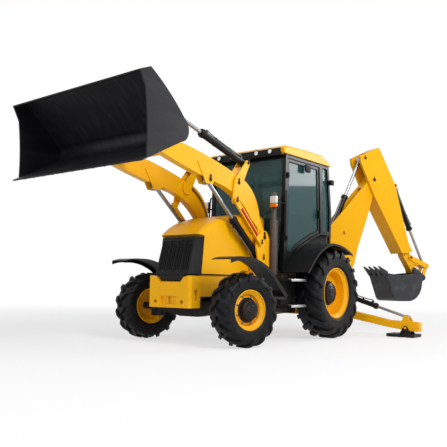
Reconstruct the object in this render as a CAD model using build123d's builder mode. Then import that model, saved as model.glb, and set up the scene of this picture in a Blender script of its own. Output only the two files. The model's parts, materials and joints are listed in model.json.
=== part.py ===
"""A centre-mount backhoe loader, standing on its four wheels with both stabilisers down.

Millimetres, X forward, Y to the machine's left, Z up.  The origin is on the ground under the
middle of the whole machine.  Outlines in the upright plane count forward from the rear axle and
up from the ground; backhoe outlines count outward from the slew pin and up from the ground.
The booms and buckets are modelled in the working pose that the machine is parked in.
"""
import os
from math import cos, hypot, radians, sin

from build123d import *

os.makedirs("parts", exist_ok=True)

# ---------------------------------------------------------------- driving dimensions
REAR_AXLE_X = -350.0        # rear axle, from the origin
WHEELBASE = 2170.0
REAR_TRACK_Y = 905.0        # middle of a rear tyre
REAR_RADIUS = 700.0
REAR_WIDTH = 430.0
REAR_RIM = 392.0            # rim flange radius
FRONT_TRACK_Y = 940.0
FRONT_RADIUS = 484.0
FRONT_WIDTH = 320.0
FRONT_RIM = 262.0
KINGPIN_Y = 720.0
KINGPIN_RADIUS = 35.0
STEER = -12.0               # degrees, front wheels turned a little to the right
SWING = 25.0                # degrees, backhoe turned to the machine's left

PIN_FIT = 0.3               # radial clearance of a pin or rod in its bore
SIDE_GAP = 8.0              # free width beside an eye between its ears
PIN_HEAD = 8.0              # a pin's head, outside the plate that holds it

# loader
ARM_IN, ARM_OUT = 430.0, 540.0          # faces of the left arm
ARM_MID = (ARM_IN + ARM_OUT) / 2
LEVER_PLATE = 20.0
LINK_THICK = 30.0           # level link, outboard of the arm
LINK_GAP = 6.0              # between the link and the bosses beside it
LINK_PIN = 22.0
ARM_PIVOT = (1250.0, 1505.0)
BUCKET_PIN = (3480.0, 2530.0)
LIFT_PIN = (2482.0, 2198.0)
LIFT_BASE = (1268.0, 1197.0)
LEVER_PIN = (1880.0, 2232.0)
LEVER_TOP = (1666.0, 2545.0)
LEVER_FOOT = (1969.0, 1964.0)
LINK_BASE = (1375.0, 1415.0)
TILT_EAR = (3640.0, 3110.0)
BUCKET_HALF = 1175.0
LEVER_OUT = ARM_OUT + SIDE_GAP + LEVER_PLATE    # outer face of a lever's outer plate
LEVER_IN = ARM_IN - SIDE_GAP - LEVER_PLATE      # inner face of its inner plate
LINK_OUT = LEVER_OUT + PIN_HEAD + LINK_GAP + LINK_THICK

# chassis
RAIL_IN, RAIL_OUT = 330.0, 355.0
FLOOR_Z = 1015.0
BONNET_HALF = 392.0
CAB_HALF = 720.0
CAB_WALL = 65.0
GLASS = 6.0

# backhoe, counted outward from the slew pin
SLEW_X = -1360.0            # slew pin, from the rear axle
SLEW_PIN = 45.0
BOOM_FOOT = (250.0, 800.0)
BOOM_RAM_BASE = (-40.0, 1062.0)
BOOM_RAM_PIN = (460.0, 1800.0)
DIPPER_PIVOT = (1144.0, 2860.0)
DIPPER_RAM_BASE = (185.0, 1725.0)
DIPPER_RAM_PIN = (927.0, 3265.0)
LEVER_PIVOT = (2097.0, 1390.0)
LEVER_END = (2518.0, 1236.0)
HOE_BUCKET_PIN = (2195.0, 1139.0)
HOE_BUCKET_EAR = (2425.0, 1000.0)
BUCKET_RAM_BASE = (1745.0, 2800.0)
DIPPER_EYE = 50.0           # half the width of the dipper ram's eyes
BOOM_HALF, BOOM_PLATE = 110.0, 30.0
DIPPER_HALF = 166.0
NOSE_HALF = 75.0
NOSE_RADIUS = 64.0
HOE_BUCKET_HALF = 270.0

# stabilisers, counted outward from the machine's middle
LEG_X = -1100.0             # middle of the legs, from the rear axle
LEG_HALF = 65.0
LEG_PIVOT = (500.0, 385.0)
LEG_RAM_BASE = (400.0, 735.0)
LEG_EAR = (1763.0, 322.0)
PAD_PIN = (1760.0, 152.0)


# ---------------------------------------------------------------- planes and repeated shapes
def side(y=0.0):
    """Upright plane along the machine; its normal points to the machine's right."""
    return Plane(origin=(REAR_AXLE_X, y, 0), x_dir=(1, 0, 0), z_dir=(0, -1, 0))


def across(x):
    """Upright plane across the machine, its normal forward."""
    return Plane(origin=(REAR_AXLE_X + x, 0, 0), x_dir=(0, 1, 0), z_dir=(1, 0, 0))


def level(z):
    """Level plane, counted forward and left from the rear axle."""
    return Plane(origin=(REAR_AXLE_X, 0, z), x_dir=(1, 0, 0), z_dir=(0, 0, 1))


def hoe(off=0.0):
    """Upright plane of the backhoe, its normal to the hoe's left when seen from the cab."""
    turn = radians(SWING)
    out, left = Vector(-cos(turn), sin(turn), 0), Vector(sin(turn), cos(turn), 0)
    return Plane(origin=Vector(REAR_AXLE_X + SLEW_X, 0, 0) + left * off, x_dir=out, z_dir=left)


def leg_plane(hand, off=0.0):
    """Upright plane of a stabiliser: outward and up, hand 1 left and -1 right."""
    return Plane(origin=(REAR_AXLE_X + LEG_X + hand * off, 0, 0), x_dir=(0, hand, 0), z_dir=(hand, 0, 0))


def wheel_plane(axle_x, track_y, radius, hand, steer=0.0, kingpin_y=0.0):
    """Plane through a wheel's middle, its normal along the axle and outward."""
    turn = radians(steer)
    arm = hand * (track_y - kingpin_y)
    centre = (REAR_AXLE_X + axle_x - arm * sin(turn), hand * kingpin_y + arm * cos(turn), radius)
    outward = (-hand * sin(turn), hand * cos(turn), 0)
    return Plane(origin=centre, x_dir=(0, 0, 1), z_dir=outward)


def plate(plane, points, thickness, corner=0.0, both=False):
    """A flat plate with rounded corners."""
    with BuildPart() as made:
        with BuildSketch(plane) as face:
            Polygon(*points, align=None)
            if corner:
                fillet(face.vertices(), corner)
        extrude(amount=thickness, both=both)
    return made.part


def disc(plane, centre, radius, thickness, both=False):
    """A round boss or pin standing on a plane."""
    with BuildPart() as made:
        with BuildSketch(plane):
            with Locations(centre):
                Circle(radius)
        extrude(amount=thickness, both=both)
    return made.part


def ram(plane, base, eye, tube, hidden, tube_radius, rod_radius, eye_radius, eye_half, pin_radius):
    """A ram in its plane of motion: the barrel with its base eye, and the rod with its own eye."""
    reach = hypot(eye[0] - base[0], eye[1] - base[1])
    start = plane.from_local_coords(Vector(*base))
    heading = plane.from_local_coords(Vector(*eye)) - start
    along = Plane(origin=start, x_dir=plane.z_dir, z_dir=heading)
    neck = eye_radius * 0.6
    gland = tube_radius * 0.7
    with BuildPart() as barrel:
        with BuildSketch(along.offset(neck)):
            Circle(tube_radius)
        extrude(amount=tube - neck)
        with BuildSketch(along.offset(tube - gland)):
            Circle(tube_radius * 1.12)
        extrude(amount=gland)
        with BuildSketch(plane):
            with Locations(base):
                Circle(eye_radius)
        extrude(amount=eye_half, both=True)
        with BuildSketch(along.offset(eye_radius * 1.4)):
            Circle(rod_radius + PIN_FIT)
        extrude(amount=tube, mode=Mode.SUBTRACT)
        with BuildSketch(plane):
            with Locations(base):
                Circle(pin_radius + PIN_FIT)
        extrude(amount=eye_half * 2, both=True, mode=Mode.SUBTRACT)
    with BuildPart() as rod:
        with BuildSketch(along.offset(tube - hidden)):
            Circle(rod_radius)
        extrude(amount=reach - tube + hidden - eye_radius * 0.5)
        with BuildSketch(plane):
            with Locations(eye):
                Circle(eye_radius)
        extrude(amount=eye_half, both=True)
    return barrel.part, rod.part


def tyre(plane, radius, width, bead, lug_height, lugs, lug_width, sweep):
    """A cleated tyre: a turned carcass, and two rows of leaning lugs on it."""
    tread = radius - lug_height
    half = width / 2
    section = Plane(origin=plane.origin, x_dir=plane.x_dir, z_dir=plane.x_dir.cross(plane.z_dir))
    spare = hypot(radius, sweep / 2 + lug_width / 2) - radius
    with BuildPart() as made:
        with BuildSketch(section):
            with BuildLine():
                Polyline(
                    (bead, -half * 0.82), (bead + 0.35 * (tread - bead), -half),
                    (tread - 0.16 * (tread - bead), -half * 0.97), (tread - 8, -half * 0.74),
                    (tread, 0), (tread - 8, half * 0.74),
                    (tread - 0.16 * (tread - bead), half * 0.97), (bead + 0.35 * (tread - bead), half),
                    (bead, half * 0.82), close=True,
                )
            make_face()
        revolve(axis=Axis(plane.origin, plane.z_dir))
        for row in (-1, 1):
            for number in range(lugs):
                turn = (number + 0.25 * row) * 360.0 / lugs
                radial = plane.x_dir.rotate(Axis((0, 0, 0), plane.z_dir), turn)
                foot = Plane(origin=plane.origin + radial * (tread - 0.2 * (tread - bead)),
                             x_dir=plane.z_dir, z_dir=radial)
                with BuildSketch(foot):
                    Polygon(
                        (0, -sweep / 2 - lug_width / 2), (0, -sweep / 2 + lug_width / 2),
                        (row * half, sweep / 2 + lug_width / 2), (row * half, sweep / 2 - lug_width / 2),
                        align=None,
                    )
                extrude(amount=0.2 * (tread - bead) + lug_height - spare)
    return made.part


def rim(plane, flange, width, disc_at, dish, hub_radius, hub_out, bore):
    """A dished wheel: flanges, well, disc and hub in one turned section."""
    edge, wall, well = width * 0.41, 12.0, 45.0
    outer, inner = flange - PIN_FIT, flange - well - wall
    face = disc_at + dish
    section = Plane(origin=plane.origin, x_dir=plane.x_dir, z_dir=plane.x_dir.cross(plane.z_dir))
    with BuildPart() as made:
        with BuildSketch(section):
            Polygon(
                (outer, -edge), (outer, -edge + 20), (flange - well, -edge + 60),
                (flange - well, edge - 60), (outer, edge - 20), (outer, edge), (outer - wall, edge),
                (outer - wall, edge - 16), (inner, edge - 54), (inner, disc_at + 12),
                (hub_radius + 60, face + 12), (bore, face + 12), (bore, face - 12),
                (hub_radius + 50, face - 12), (inner, disc_at - 12), (inner, -edge + 54),
                (outer - wall, -edge + 16), (outer - wall, -edge), align=None,
            )
        revolve(axis=Axis(plane.origin, plane.z_dir))
        with BuildSketch(plane.offset(face)):
            Circle(hub_radius)
            Circle(bore, mode=Mode.SUBTRACT)
        extrude(amount=hub_out)
    return made.part


def save(part, name):
    """Label a finished piece and write it."""
    part.label = name
    export_step(part, f"parts/{name}.step")


# ---------------------------------------------------------------- chassis
RAIL = (
    (-1001.7, 420), (-1001.7, 1000), (1000, 1000), (1120, 1010), (1500, 1010), (1545, 930),
    (2440, 930), (2440, 640), (1800, 640), (1500, 600), (1000, 640), (420, 835), (-420, 835), (-560, 420),
)
TOWER = (
    (1120, 1010), (1120, 1500), (1190, 1600), (1310, 1600), (1450, 1450), (1450, 1350),
    (1390, 1150), (1420, 1010),
)
TOWER_PLATE = 22.0
CROSS_MEMBERS = (          # x from, x to, z from, z to
    (-900, -860, 500, 960), (620, 680, 860, 980), (1180, 1240, 982, 1005), (2400, 2440, 660, 840),
)
with BuildPart() as main_frame:
    with BuildSketch(side(RAIL_OUT)) as rail:
        Polygon(*RAIL, align=None)
        fillet(rail.vertices(), 25)
    extrude(amount=RAIL_OUT - RAIL_IN)
    for outer in (ARM_OUT + SIDE_GAP + TOWER_PLATE, ARM_IN - SIDE_GAP):
        with BuildSketch(side(outer)) as tower:
            Polygon(*TOWER, align=None)
            fillet(tower.vertices().group_by(Axis.Z)[-1], 60)
        extrude(amount=TOWER_PLATE)
    with BuildSketch(side(ARM_OUT + SIDE_GAP + TOWER_PLATE)):
        Polygon((1120, 900), (1120, 1010), (1420, 1010), (1420, 900), align=None)
    extrude(amount=ARM_OUT + SIDE_GAP + TOWER_PLATE - RAIL_OUT)
    with BuildSketch(side(ARM_OUT + SIDE_GAP)):
        Polygon((1120, 1010), (1120, 1390), (1138, 1390), (1138, 1010), align=None)
    extrude(amount=ARM_OUT - ARM_IN + 2 * SIDE_GAP)
    for centre, radius in ((ARM_PIVOT, 35), (LIFT_BASE, 25)):
        with BuildSketch(side(ARM_OUT + SIDE_GAP + TOWER_PLATE + PIN_HEAD)):
            with Locations(centre):
                Circle(radius)
        extrude(amount=ARM_OUT - ARM_IN + 2 * (SIDE_GAP + TOWER_PLATE) + PIN_HEAD)
    for outer, radius in ((LINK_OUT + PIN_HEAD, LINK_PIN), (LINK_OUT - LINK_THICK - LINK_GAP, 36)):
        with BuildSketch(side(outer)):
            with Locations(LINK_BASE):
                Circle(radius)
        extrude(amount=outer - ARM_OUT - SIDE_GAP)
    mirror(about=Plane.XZ)
    for x_from, x_to, z_from, z_to in CROSS_MEMBERS:
        with BuildSketch(side(RAIL_IN)):
            Polygon((x_from, z_from), (x_from, z_to), (x_to, z_to), (x_to, z_from), align=None)
        extrude(amount=2 * RAIL_IN)

# rear frame: two cross plates with the legs between them, and the slew lugs behind
FRAME_GAP = 2 * LEG_HALF + 2 * SIDE_GAP
FRAME_PLATE = 25.0
FRAME_OUTLINE = (
    (-300, 300), (-575, 300), (-575, 470), (-470, 820), (-250, 1000), (250, 1000), (470, 820),
    (575, 470), (575, 300), (300, 300),
)
SLEW_LUGS = ((330.0, 400.0), (880.0, 950.0))
SLEW_LUG_RADIUS = 115.0
with BuildPart() as rear_frame:
    for start in (LEG_X + FRAME_GAP / 2, LEG_X - FRAME_GAP / 2 - FRAME_PLATE):
        with BuildSketch(across(start)) as outline:
            Polygon(*FRAME_OUTLINE, align=None)
            fillet(outline.vertices(), 40)
        extrude(amount=FRAME_PLATE)
    with BuildSketch(across(LEG_X - FRAME_GAP / 2)):
        with Locations((-240, 650), (240, 650)):
            Rectangle(30, 600)
        with Locations((0, 965), (0, 335)):
            Rectangle(450, 30)
    extrude(amount=FRAME_GAP)
    for z_from, z_to in SLEW_LUGS:
        with BuildSketch(level(z_from)):
            with Locations((SLEW_X, 0)):
                Circle(SLEW_LUG_RADIUS)
            with Locations((LEG_X - FRAME_GAP / 2 - FRAME_PLATE + 1, -136),
                           (LEG_X - FRAME_GAP / 2 - FRAME_PLATE + 1, 136)):
                Circle(1)
            make_hull()
            with Locations((SLEW_X, 0)):
                Circle(SLEW_PIN + PIN_FIT, mode=Mode.SUBTRACT)
        extrude(amount=z_to - z_from)
    for hand in (1, -1):
        for centre, radius in ((LEG_PIVOT, 35), (LEG_RAM_BASE, 22)):
            with BuildSketch(leg_plane(hand, -FRAME_GAP / 2 - 2)):
                with Locations(centre):
                    Circle(radius)
            extrude(amount=FRAME_GAP + 4)

WEIGHT_BACK, WEIGHT_FRONT, WEIGHT_HALF = 2440.3, 2660.0, 380.0
WEIGHT_FOOT, NOTCH_Z, SHOULDER_Z = 490.0, 836.0, 918.0
TOW_PIN_X, TOW_PIN = 2620.0, 20.0
TOW_HOLE, TOW_HOLE_AT = 26.0, (240.0, 570.0)
with BuildPart() as counterweight:
    with BuildSketch(across(WEIGHT_BACK)):
        Polygon(
            (-WEIGHT_HALF, WEIGHT_FOOT), (-WEIGHT_HALF, SHOULDER_Z - 12), (-350, SHOULDER_Z), (-268, SHOULDER_Z - 22),
            (-215, NOTCH_Z), (215, NOTCH_Z), (268, SHOULDER_Z - 22), (350, SHOULDER_Z),
            (WEIGHT_HALF, SHOULDER_Z - 12), (WEIGHT_HALF, WEIGHT_FOOT), align=None,
        )
    extrude(amount=WEIGHT_FRONT - WEIGHT_BACK)
    corners = counterweight.edges().filter_by(Axis.Z).group_by(Axis.X)[-1]
    chamfer(corners, 45, 30)
    with BuildSketch(side(WEIGHT_HALF)):
        with Locations((2527, 705)):
            Circle(34)
        with Locations((2529, 598)):
            Circle(11)
        Polygon((2516, 598), (2540, 598), (2546, 690), (2508, 690), align=None)
    extrude(amount=70, mode=Mode.SUBTRACT)
    mirror(about=Plane.XZ, mode=Mode.INTERSECT)
    with BuildSketch(across(WEIGHT_FRONT - 30)):
        with Locations((0, 590)):
            Rectangle(280, 110)
    extrude(amount=40, mode=Mode.SUBTRACT)
    with BuildSketch(across(WEIGHT_FRONT - 100)):
        with Locations((-TOW_HOLE_AT[0], TOW_HOLE_AT[1]), TOW_HOLE_AT):
            Circle(TOW_HOLE)
    extrude(amount=120, mode=Mode.SUBTRACT)
    with BuildSketch(level(WEIGHT_FOOT - 10)):
        with Locations((TOW_PIN_X, 0)):
            Circle(TOW_PIN)
    extrude(amount=NOTCH_Z - WEIGHT_FOOT + 20, mode=Mode.SUBTRACT)

# bonnet: a crowned hood, open below and in front
BONNET_CROWN = ((1010, 1850), (1640, 1815), (2140, 1690))     # start, through, end of its arc
BONNET_NOSE = (2475, 1480)
BONNET_WALL = 10.0
with BuildPart() as bonnet:
    with BuildSketch(side(BONNET_HALF)):
        with BuildLine():
            crown = ThreePointArc(*BONNET_CROWN)
            TangentArc(BONNET_CROWN[2], BONNET_NOSE, tangent=crown % 1)
            Polyline(BONNET_NOSE, (2385, 1462), (2438, 945), (1640, 945), (1560, 1010.3), (1012, 1010.3),
                     BONNET_CROWN[0])
        make_face()
    extrude(amount=2 * BONNET_HALF)
    shoulders = bonnet.edges().filter_by_position(Axis.Z, 1500, 1845).filter_by(
        lambda edge: abs(abs(edge.center().Y) - BONNET_HALF) < 1)
    fillet(shoulders, 90)
    with BuildSketch(side(BONNET_HALF - BONNET_WALL)):
        Polygon((1024, 900), (1024, 1700), (1630, 1700), (2120, 1575), (2365, 1462 - 12),
                (2500, 1462 - 12), (2500, 900), align=None)
    extrude(amount=2 * (BONNET_HALF - BONNET_WALL), mode=Mode.SUBTRACT)

GRILLE_LEVELS = ((935.0, 2440.0, 2602.0, 306.0), (1448.0, 2388.0, 2468.0, 290.0))   # z, side x, front x, front half
inset = BONNET_HALF - BONNET_WALL - PIN_FIT
GRILLE_LEAN = (0.9675, 0.2527)          # forward and up, square to the grille's face
PANELS, PANEL_WIDTH, PANEL_STEP, PANEL_TALL, PANEL_DEEP = 4, 122.0, 138.0, 430.0, 12.0
SLOTS, SLOT_STEP, SLOT_WIDTH, SLOT_DEEP = 3, 36.0, 20.0, 34.0
with BuildPart() as radiator_grille:
    for z, side_x, front_x, front_half in GRILLE_LEVELS:
        with BuildSketch(level(z)):
            Polygon((side_x - 60, -inset), (side_x - 60, inset), (side_x + 1, inset), (side_x + 1, BONNET_HALF),
                    (front_x, front_half), (front_x, -front_half), (side_x + 1, -BONNET_HALF),
                    (side_x + 1, -inset), align=None)
    loft(ruled=True)
    with BuildSketch(across(2470)):
        Polygon((-250, 940), (-195, NOTCH_Z + 14), (195, NOTCH_Z + 14), (250, 940), align=None)
    extrude(amount=126)
    face = Plane(origin=(REAR_AXLE_X + GRILLE_LEVELS[0][2], 0, GRILLE_LEVELS[0][0]), x_dir=(0, 1, 0),
                 z_dir=(GRILLE_LEAN[0], 0, GRILLE_LEAN[1]))
    for number in range(PANELS):
        y = (number - (PANELS - 1) / 2) * PANEL_STEP
        with BuildSketch(face.offset(-PANEL_DEEP)):
            with Locations((y, 255)):
                Rectangle(PANEL_WIDTH, PANEL_TALL)
        extrude(amount=PANEL_DEEP + 20, mode=Mode.SUBTRACT)
        with BuildSketch(face.offset(-SLOT_DEEP)):
            for slot in range(SLOTS):
                with Locations((y + (slot - (SLOTS - 1) / 2) * SLOT_STEP, 255)):
                    Rectangle(SLOT_WIDTH, PANEL_TALL - 60)
        extrude(amount=SLOT_DEEP, mode=Mode.SUBTRACT)

with BuildPart() as powertrain:
    with BuildSketch(level(720)):
        with Locations((1900, 0)):
            Rectangle(820, 460)
    extrude(amount=620)
    with BuildSketch(level(640)):
        with Locations((1095, 0)):
            Rectangle(790, 420)
    extrude(amount=340)
    for hand in (1, -1):
        with BuildSketch(level(760)):
            with Locations((1900, hand * 280)):
                Rectangle(160, 100)
        extrude(amount=60)
    with BuildSketch(across(186)):
        with Locations((0, REAR_RADIUS)):
            Circle(45)
    extrude(amount=520)

# axles, knuckles and wheels
AXLE_TUBE = 100.0
with BuildPart() as rear_axle:
    with BuildSketch(side(REAR_TRACK_Y - REAR_WIDTH / 2 - 45)):
        with Locations((0, REAR_RADIUS)):
            Circle(AXLE_TUBE)
    extrude(amount=2 * (REAR_TRACK_Y - REAR_WIDTH / 2 - 45))
    with BuildSketch(side(150)):
        with Locations((0, REAR_RADIUS)):
            Circle(185)
    extrude(amount=300)
    for hand in (1, -1):
        with BuildSketch(side(hand * (RAIL_IN + RAIL_OUT) / 2)):
            Polygon((-150, 834.7), (-110, 700), (110, 700), (150, 834.7), align=None)
        extrude(amount=40, both=True)
        with BuildSketch(wheel_plane(0, REAR_TRACK_Y, REAR_RADIUS, hand).offset(-REAR_WIDTH / 2 - 60)):
            Circle(165)
        extrude(amount=120)
        with BuildSketch(wheel_plane(0, REAR_TRACK_Y, REAR_RADIUS, hand).offset(-REAR_WIDTH / 2)):
            Circle(60 - PIN_FIT)
        extrude(amount=REAR_WIDTH / 2 + 60)

FRONT_BEAM_Y = KINGPIN_Y - 75.0
with BuildPart() as front_axle:
    with BuildSketch(across(WHEELBASE - 70)) as beam:
        Polygon((-FRONT_BEAM_Y, 440), (-FRONT_BEAM_Y, 540), (-200, 590), (200, 590), (FRONT_BEAM_Y, 540),
                (FRONT_BEAM_Y, 440), (160, 360), (-160, 360), align=None)
        fillet(beam.vertices(), 20)
    extrude(amount=140)
    with BuildSketch(across(WHEELBASE - 160)):
        with Locations((0, 560)):
            Circle(55)
    extrude(amount=320)
    for x in (WHEELBASE - 150, WHEELBASE + 110):
        with BuildSketch(across(x)):
            Polygon((-RAIL_OUT, 639.7), (RAIL_OUT, 639.7), (90, 500), (-90, 500), align=None)
        extrude(amount=40)
    for hand in (1, -1):
        for z_from, z_to in ((FRONT_RADIUS - 135, FRONT_RADIUS - 75), (FRONT_RADIUS + 75, FRONT_RADIUS + 135)):
            with BuildSketch(level(z_from)):
                with Locations((WHEELBASE, hand * KINGPIN_Y)):
                    Circle(62)
                with Locations((WHEELBASE, hand * (FRONT_BEAM_Y - 30))):
                    Circle(62)
                make_hull()
                with Locations((WHEELBASE, hand * KINGPIN_Y)):
                    Circle(KINGPIN_RADIUS + PIN_FIT, mode=Mode.SUBTRACT)
            extrude(amount=z_to - z_from)
        with BuildSketch(level(FRONT_RADIUS - 135)):
            with Locations((WHEELBASE, hand * (FRONT_BEAM_Y - 45))):
                Rectangle(110, 70)
        extrude(amount=270)

knuckles = {}
for name, hand in (("left", 1), ("right", -1)):
    spindle = wheel_plane(WHEELBASE, FRONT_TRACK_Y, FRONT_RADIUS, hand, STEER, KINGPIN_Y)
    with BuildPart() as knuckle:
        with BuildSketch(level(FRONT_RADIUS - 140)):
            with Locations((WHEELBASE, hand * KINGPIN_Y)):
                Circle(KINGPIN_RADIUS)
        extrude(amount=280)
        with BuildSketch(level(FRONT_RADIUS - 72)):
            with Locations((WHEELBASE, hand * KINGPIN_Y)):
                Circle(58)
        extrude(amount=144)
        with BuildSketch(spindle.offset(-(FRONT_TRACK_Y - KINGPIN_Y))):
            Circle(50 - PIN_FIT)
        extrude(amount=FRONT_TRACK_Y - KINGPIN_Y + 95)
    knuckles[name] = knuckle.part

WHEELS = (      # name, axle x, track y, radius, width, rim, hand, steer, kingpin y
    ("front_left", WHEELBASE, FRONT_TRACK_Y, FRONT_RADIUS, FRONT_WIDTH, FRONT_RIM, 1, STEER, KINGPIN_Y),
    ("front_right", WHEELBASE, FRONT_TRACK_Y, FRONT_RADIUS, FRONT_WIDTH, FRONT_RIM, -1, STEER, KINGPIN_Y),
    ("rear_left", 0.0, REAR_TRACK_Y, REAR_RADIUS, REAR_WIDTH, REAR_RIM, 1, 0.0, 0.0),
    ("rear_right", 0.0, REAR_TRACK_Y, REAR_RADIUS, REAR_WIDTH, REAR_RIM, -1, 0.0, 0.0),
)
for name, axle_x, track_y, radius, width, flange, hand, steer, kingpin_y in WHEELS:
    middle = wheel_plane(axle_x, track_y, radius, hand, steer, kingpin_y)
    front = steer != 0.0
    lug_height, lugs, lug_width, sweep = (22.0, 14, 42.0, 90.0) if front else (34.0, 15, 52.0, 150.0)
    save(tyre(middle, radius, width, flange, lug_height, lugs, lug_width, sweep), f"tyre_{name}")
    disc_at, dish, hub_radius, hub_out, bore = (20.0, 40.0, 85.0, 70.0, 50.0) if front else \
        (-20.0, 30.0, 120.0, 60.0, 60.0)
    save(rim(middle, flange, width, disc_at, dish, hub_radius, hub_out, bore), f"rim_{name}")

# fenders: bent sheets with a turned-down lip, the front ones on brackets from the rails
FENDER_SHEET = 9.0
FRONT_FENDER = (                # start, through, end of each bend, then the straight tail's foot
    ((2700, 1128), (2580, 1158), (2440, 1163)),
    ((2440, 1163), (2090, 1125), (1763, 963)),
)
FRONT_FENDER_FOOT = (1430, 672)
FRONT_FENDER_OUT = 1090.0
REAR_FENDER = (
    ((-410, 1320), (-90, 1430), (230, 1462)),
    ((230, 1462), (545, 1352), (800, 1165)),
)
REAR_FENDER_FOOT = (965, 1005)
FENDERS = (     # bends, foot, lean of the tail's underside, outer face, width, lip
    (FRONT_FENDER, FRONT_FENDER_FOOT, 0.4, FRONT_FENDER_OUT, 310.0, 55.0),
    (REAR_FENDER, REAR_FENDER_FOOT, -0.4, 1140.0, 1140.0 - CAB_HALF, 34.0),
)


def lowered(point, drop, lean=0.0):
    """A point of a fender's outline moved down, and along where the sheet is steep."""
    return (point[0] + lean * drop, point[1] - drop)


with BuildPart() as fenders:
    for (start, top, crest), (_, middle, end), foot, lean, outer, width, lip in (
            (*row[0], *row[1:]) for row in FENDERS):
        for out, sheet, depth in ((outer, FENDER_SHEET, width), (outer + FENDER_SHEET, lip, FENDER_SHEET)):
            with BuildSketch(side(out)):
                with BuildLine():
                    for drop in (0, sheet):
                        ThreePointArc(lowered(start, drop), lowered(top, drop), lowered(crest, drop))
                        ThreePointArc(lowered(crest, drop), lowered(middle, drop), lowered(end, drop, lean))
                        Line(lowered(end, drop, lean), lowered(foot, drop, lean))
                    Line(start, lowered(start, sheet))
                    Line(foot, lowered(foot, sheet, lean))
                make_face()
            extrude(amount=depth)
    with BuildSketch(side(FRONT_FENDER_OUT)):
        Polygon((1440, 612), (1440, 675), (1510, 736), (1510, 650), align=None)
    extrude(amount=FRONT_FENDER_OUT - RAIL_OUT)
    mirror(about=Plane.XZ)

# fuel tank and hydraulic tank, each with two steps
with BuildPart() as side_tanks:
    with BuildSketch(side(RAIL_OUT + 420)) as tank:
        Polygon((720, 410), (720, 960), (1110, 960), (1110, 470), (1060, 410), align=None)
        fillet(tank.vertices(), 40)
    extrude(amount=419.7)
    for z in (495, 870):
        with BuildSketch(side(980)):
            Polygon((725, z), (725, z + 25), (1165, z + 25), (1165, z), align=None)
        extrude(amount=980 - RAIL_OUT - 420 + 5)
    mirror(about=Plane.XZ)

# ---------------------------------------------------------------- cab
CAB_SIDE = (
    (965, FLOOR_Z), (955, 1250), (905, 2800), (-400, 2800), (-480, 2025), (-462, 1640), (-140, 1640),
    (90, 1570), (390, 1440), (560, 1360), (700, 1225), (700, FLOOR_Z),
)
DOOR = (
    (904, 1262), (852, 2745), (-95, 2745), (-125, 1665), (90, 1592), (390, 1470), (560, 1394), (700, 1282),
)
QUARTER_WINDOW = ((-190, 2745), (-350, 2745), (-425, 2030), (-410, 1700), (-205, 1700))
CAB_INSIDE = CAB_HALF - CAB_WALL
PILLAR = 42.0
HINGE_Y = 738.0
HINGE_FOOT, HINGE_HEAD = (905.0, 1235.0), (852.0, 2745.0)     # the door's front edge
HINGES = (0.18, 0.82)                                         # shares of that edge
HINGE_PIN = 8.0


def hinge(hand, share):
    """Plane square to a door's leaning hinge axis, counted forward and to the left."""
    foot, head = side(hand * HINGE_Y).from_local_coords(Vector(*HINGE_FOOT)), \
        side(hand * HINGE_Y).from_local_coords(Vector(*HINGE_HEAD))
    axis = (head - foot).normalized()
    return Plane(origin=foot + (head - foot) * share, x_dir=Vector(0, 1, 0).cross(axis), z_dir=axis)


with BuildPart() as cab_frame:
    with BuildSketch(side(CAB_HALF)) as wall:
        Polygon(*CAB_SIDE, align=None)
        Polygon(*DOOR, align=None, mode=Mode.SUBTRACT)
        Polygon(*QUARTER_WINDOW, align=None, mode=Mode.SUBTRACT)
    extrude(amount=CAB_WALL)
    mirror(about=Plane.XZ)
    for strip in (
        ((845, 2740), (843, 2800), (905, 2800), (907, 2740)),
        ((915, FLOOR_Z), (905, 1300), (953, 1300), (965, FLOOR_Z)),
        ((-406, 2740), (-400, 2800), (-340, 2800), (-346, 2740)),
        ((-462, FLOOR_Z), (-462, 1640), (-480, 2030), (-440, 2030), (-422, 1640), (-422, FLOOR_Z)),
    ):
        with BuildSketch(side(CAB_INSIDE)):
            Polygon(*strip, align=None)
        extrude(amount=2 * CAB_INSIDE)
    for hand in (1, -1):
        for share in HINGES:
            with BuildSketch(hinge(hand, share)):
                Circle(HINGE_PIN)
            extrude(amount=45, both=True)
            for start in (-45, 33):
                with BuildSketch(hinge(hand, share).offset(start)):
                    Circle(12)
                    with Locations((10, -hand * 22), (28, -hand * 22)):
                        Circle(6)
                    make_hull()
                extrude(amount=12)

with BuildPart() as cab_floor:
    with BuildSketch(side(CAB_INSIDE)):
        Polygon((-462, FLOOR_Z - 15), (-462, FLOOR_Z), (965, FLOOR_Z), (965, FLOOR_Z - 15), align=None)
    extrude(amount=2 * CAB_INSIDE)
    for hand in (1, -1):
        with BuildSketch(side(hand * (CAB_INSIDE - 8))):
            Polygon((-421, FLOOR_Z), (-421, 1640), (-140, 1640), (90, 1570), (390, 1440), (560, 1360),
                    (700, 1225), (700, FLOOR_Z), align=None)
        extrude(amount=8, both=True)
        with BuildSketch(side(hand * 460)):
            Polygon((-421, FLOOR_Z), (-421, 1700), (-250, 1700), (-150, 1420), (60, 1420), (60, FLOOR_Z),
                    align=None)
        extrude(amount=90, both=True)
    with BuildSketch(side(230)):
        Polygon((760, FLOOR_Z), (690, 1585), (790, 1635.6), (860, 1600), (880, FLOOR_Z), align=None)
    extrude(amount=460)

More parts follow.
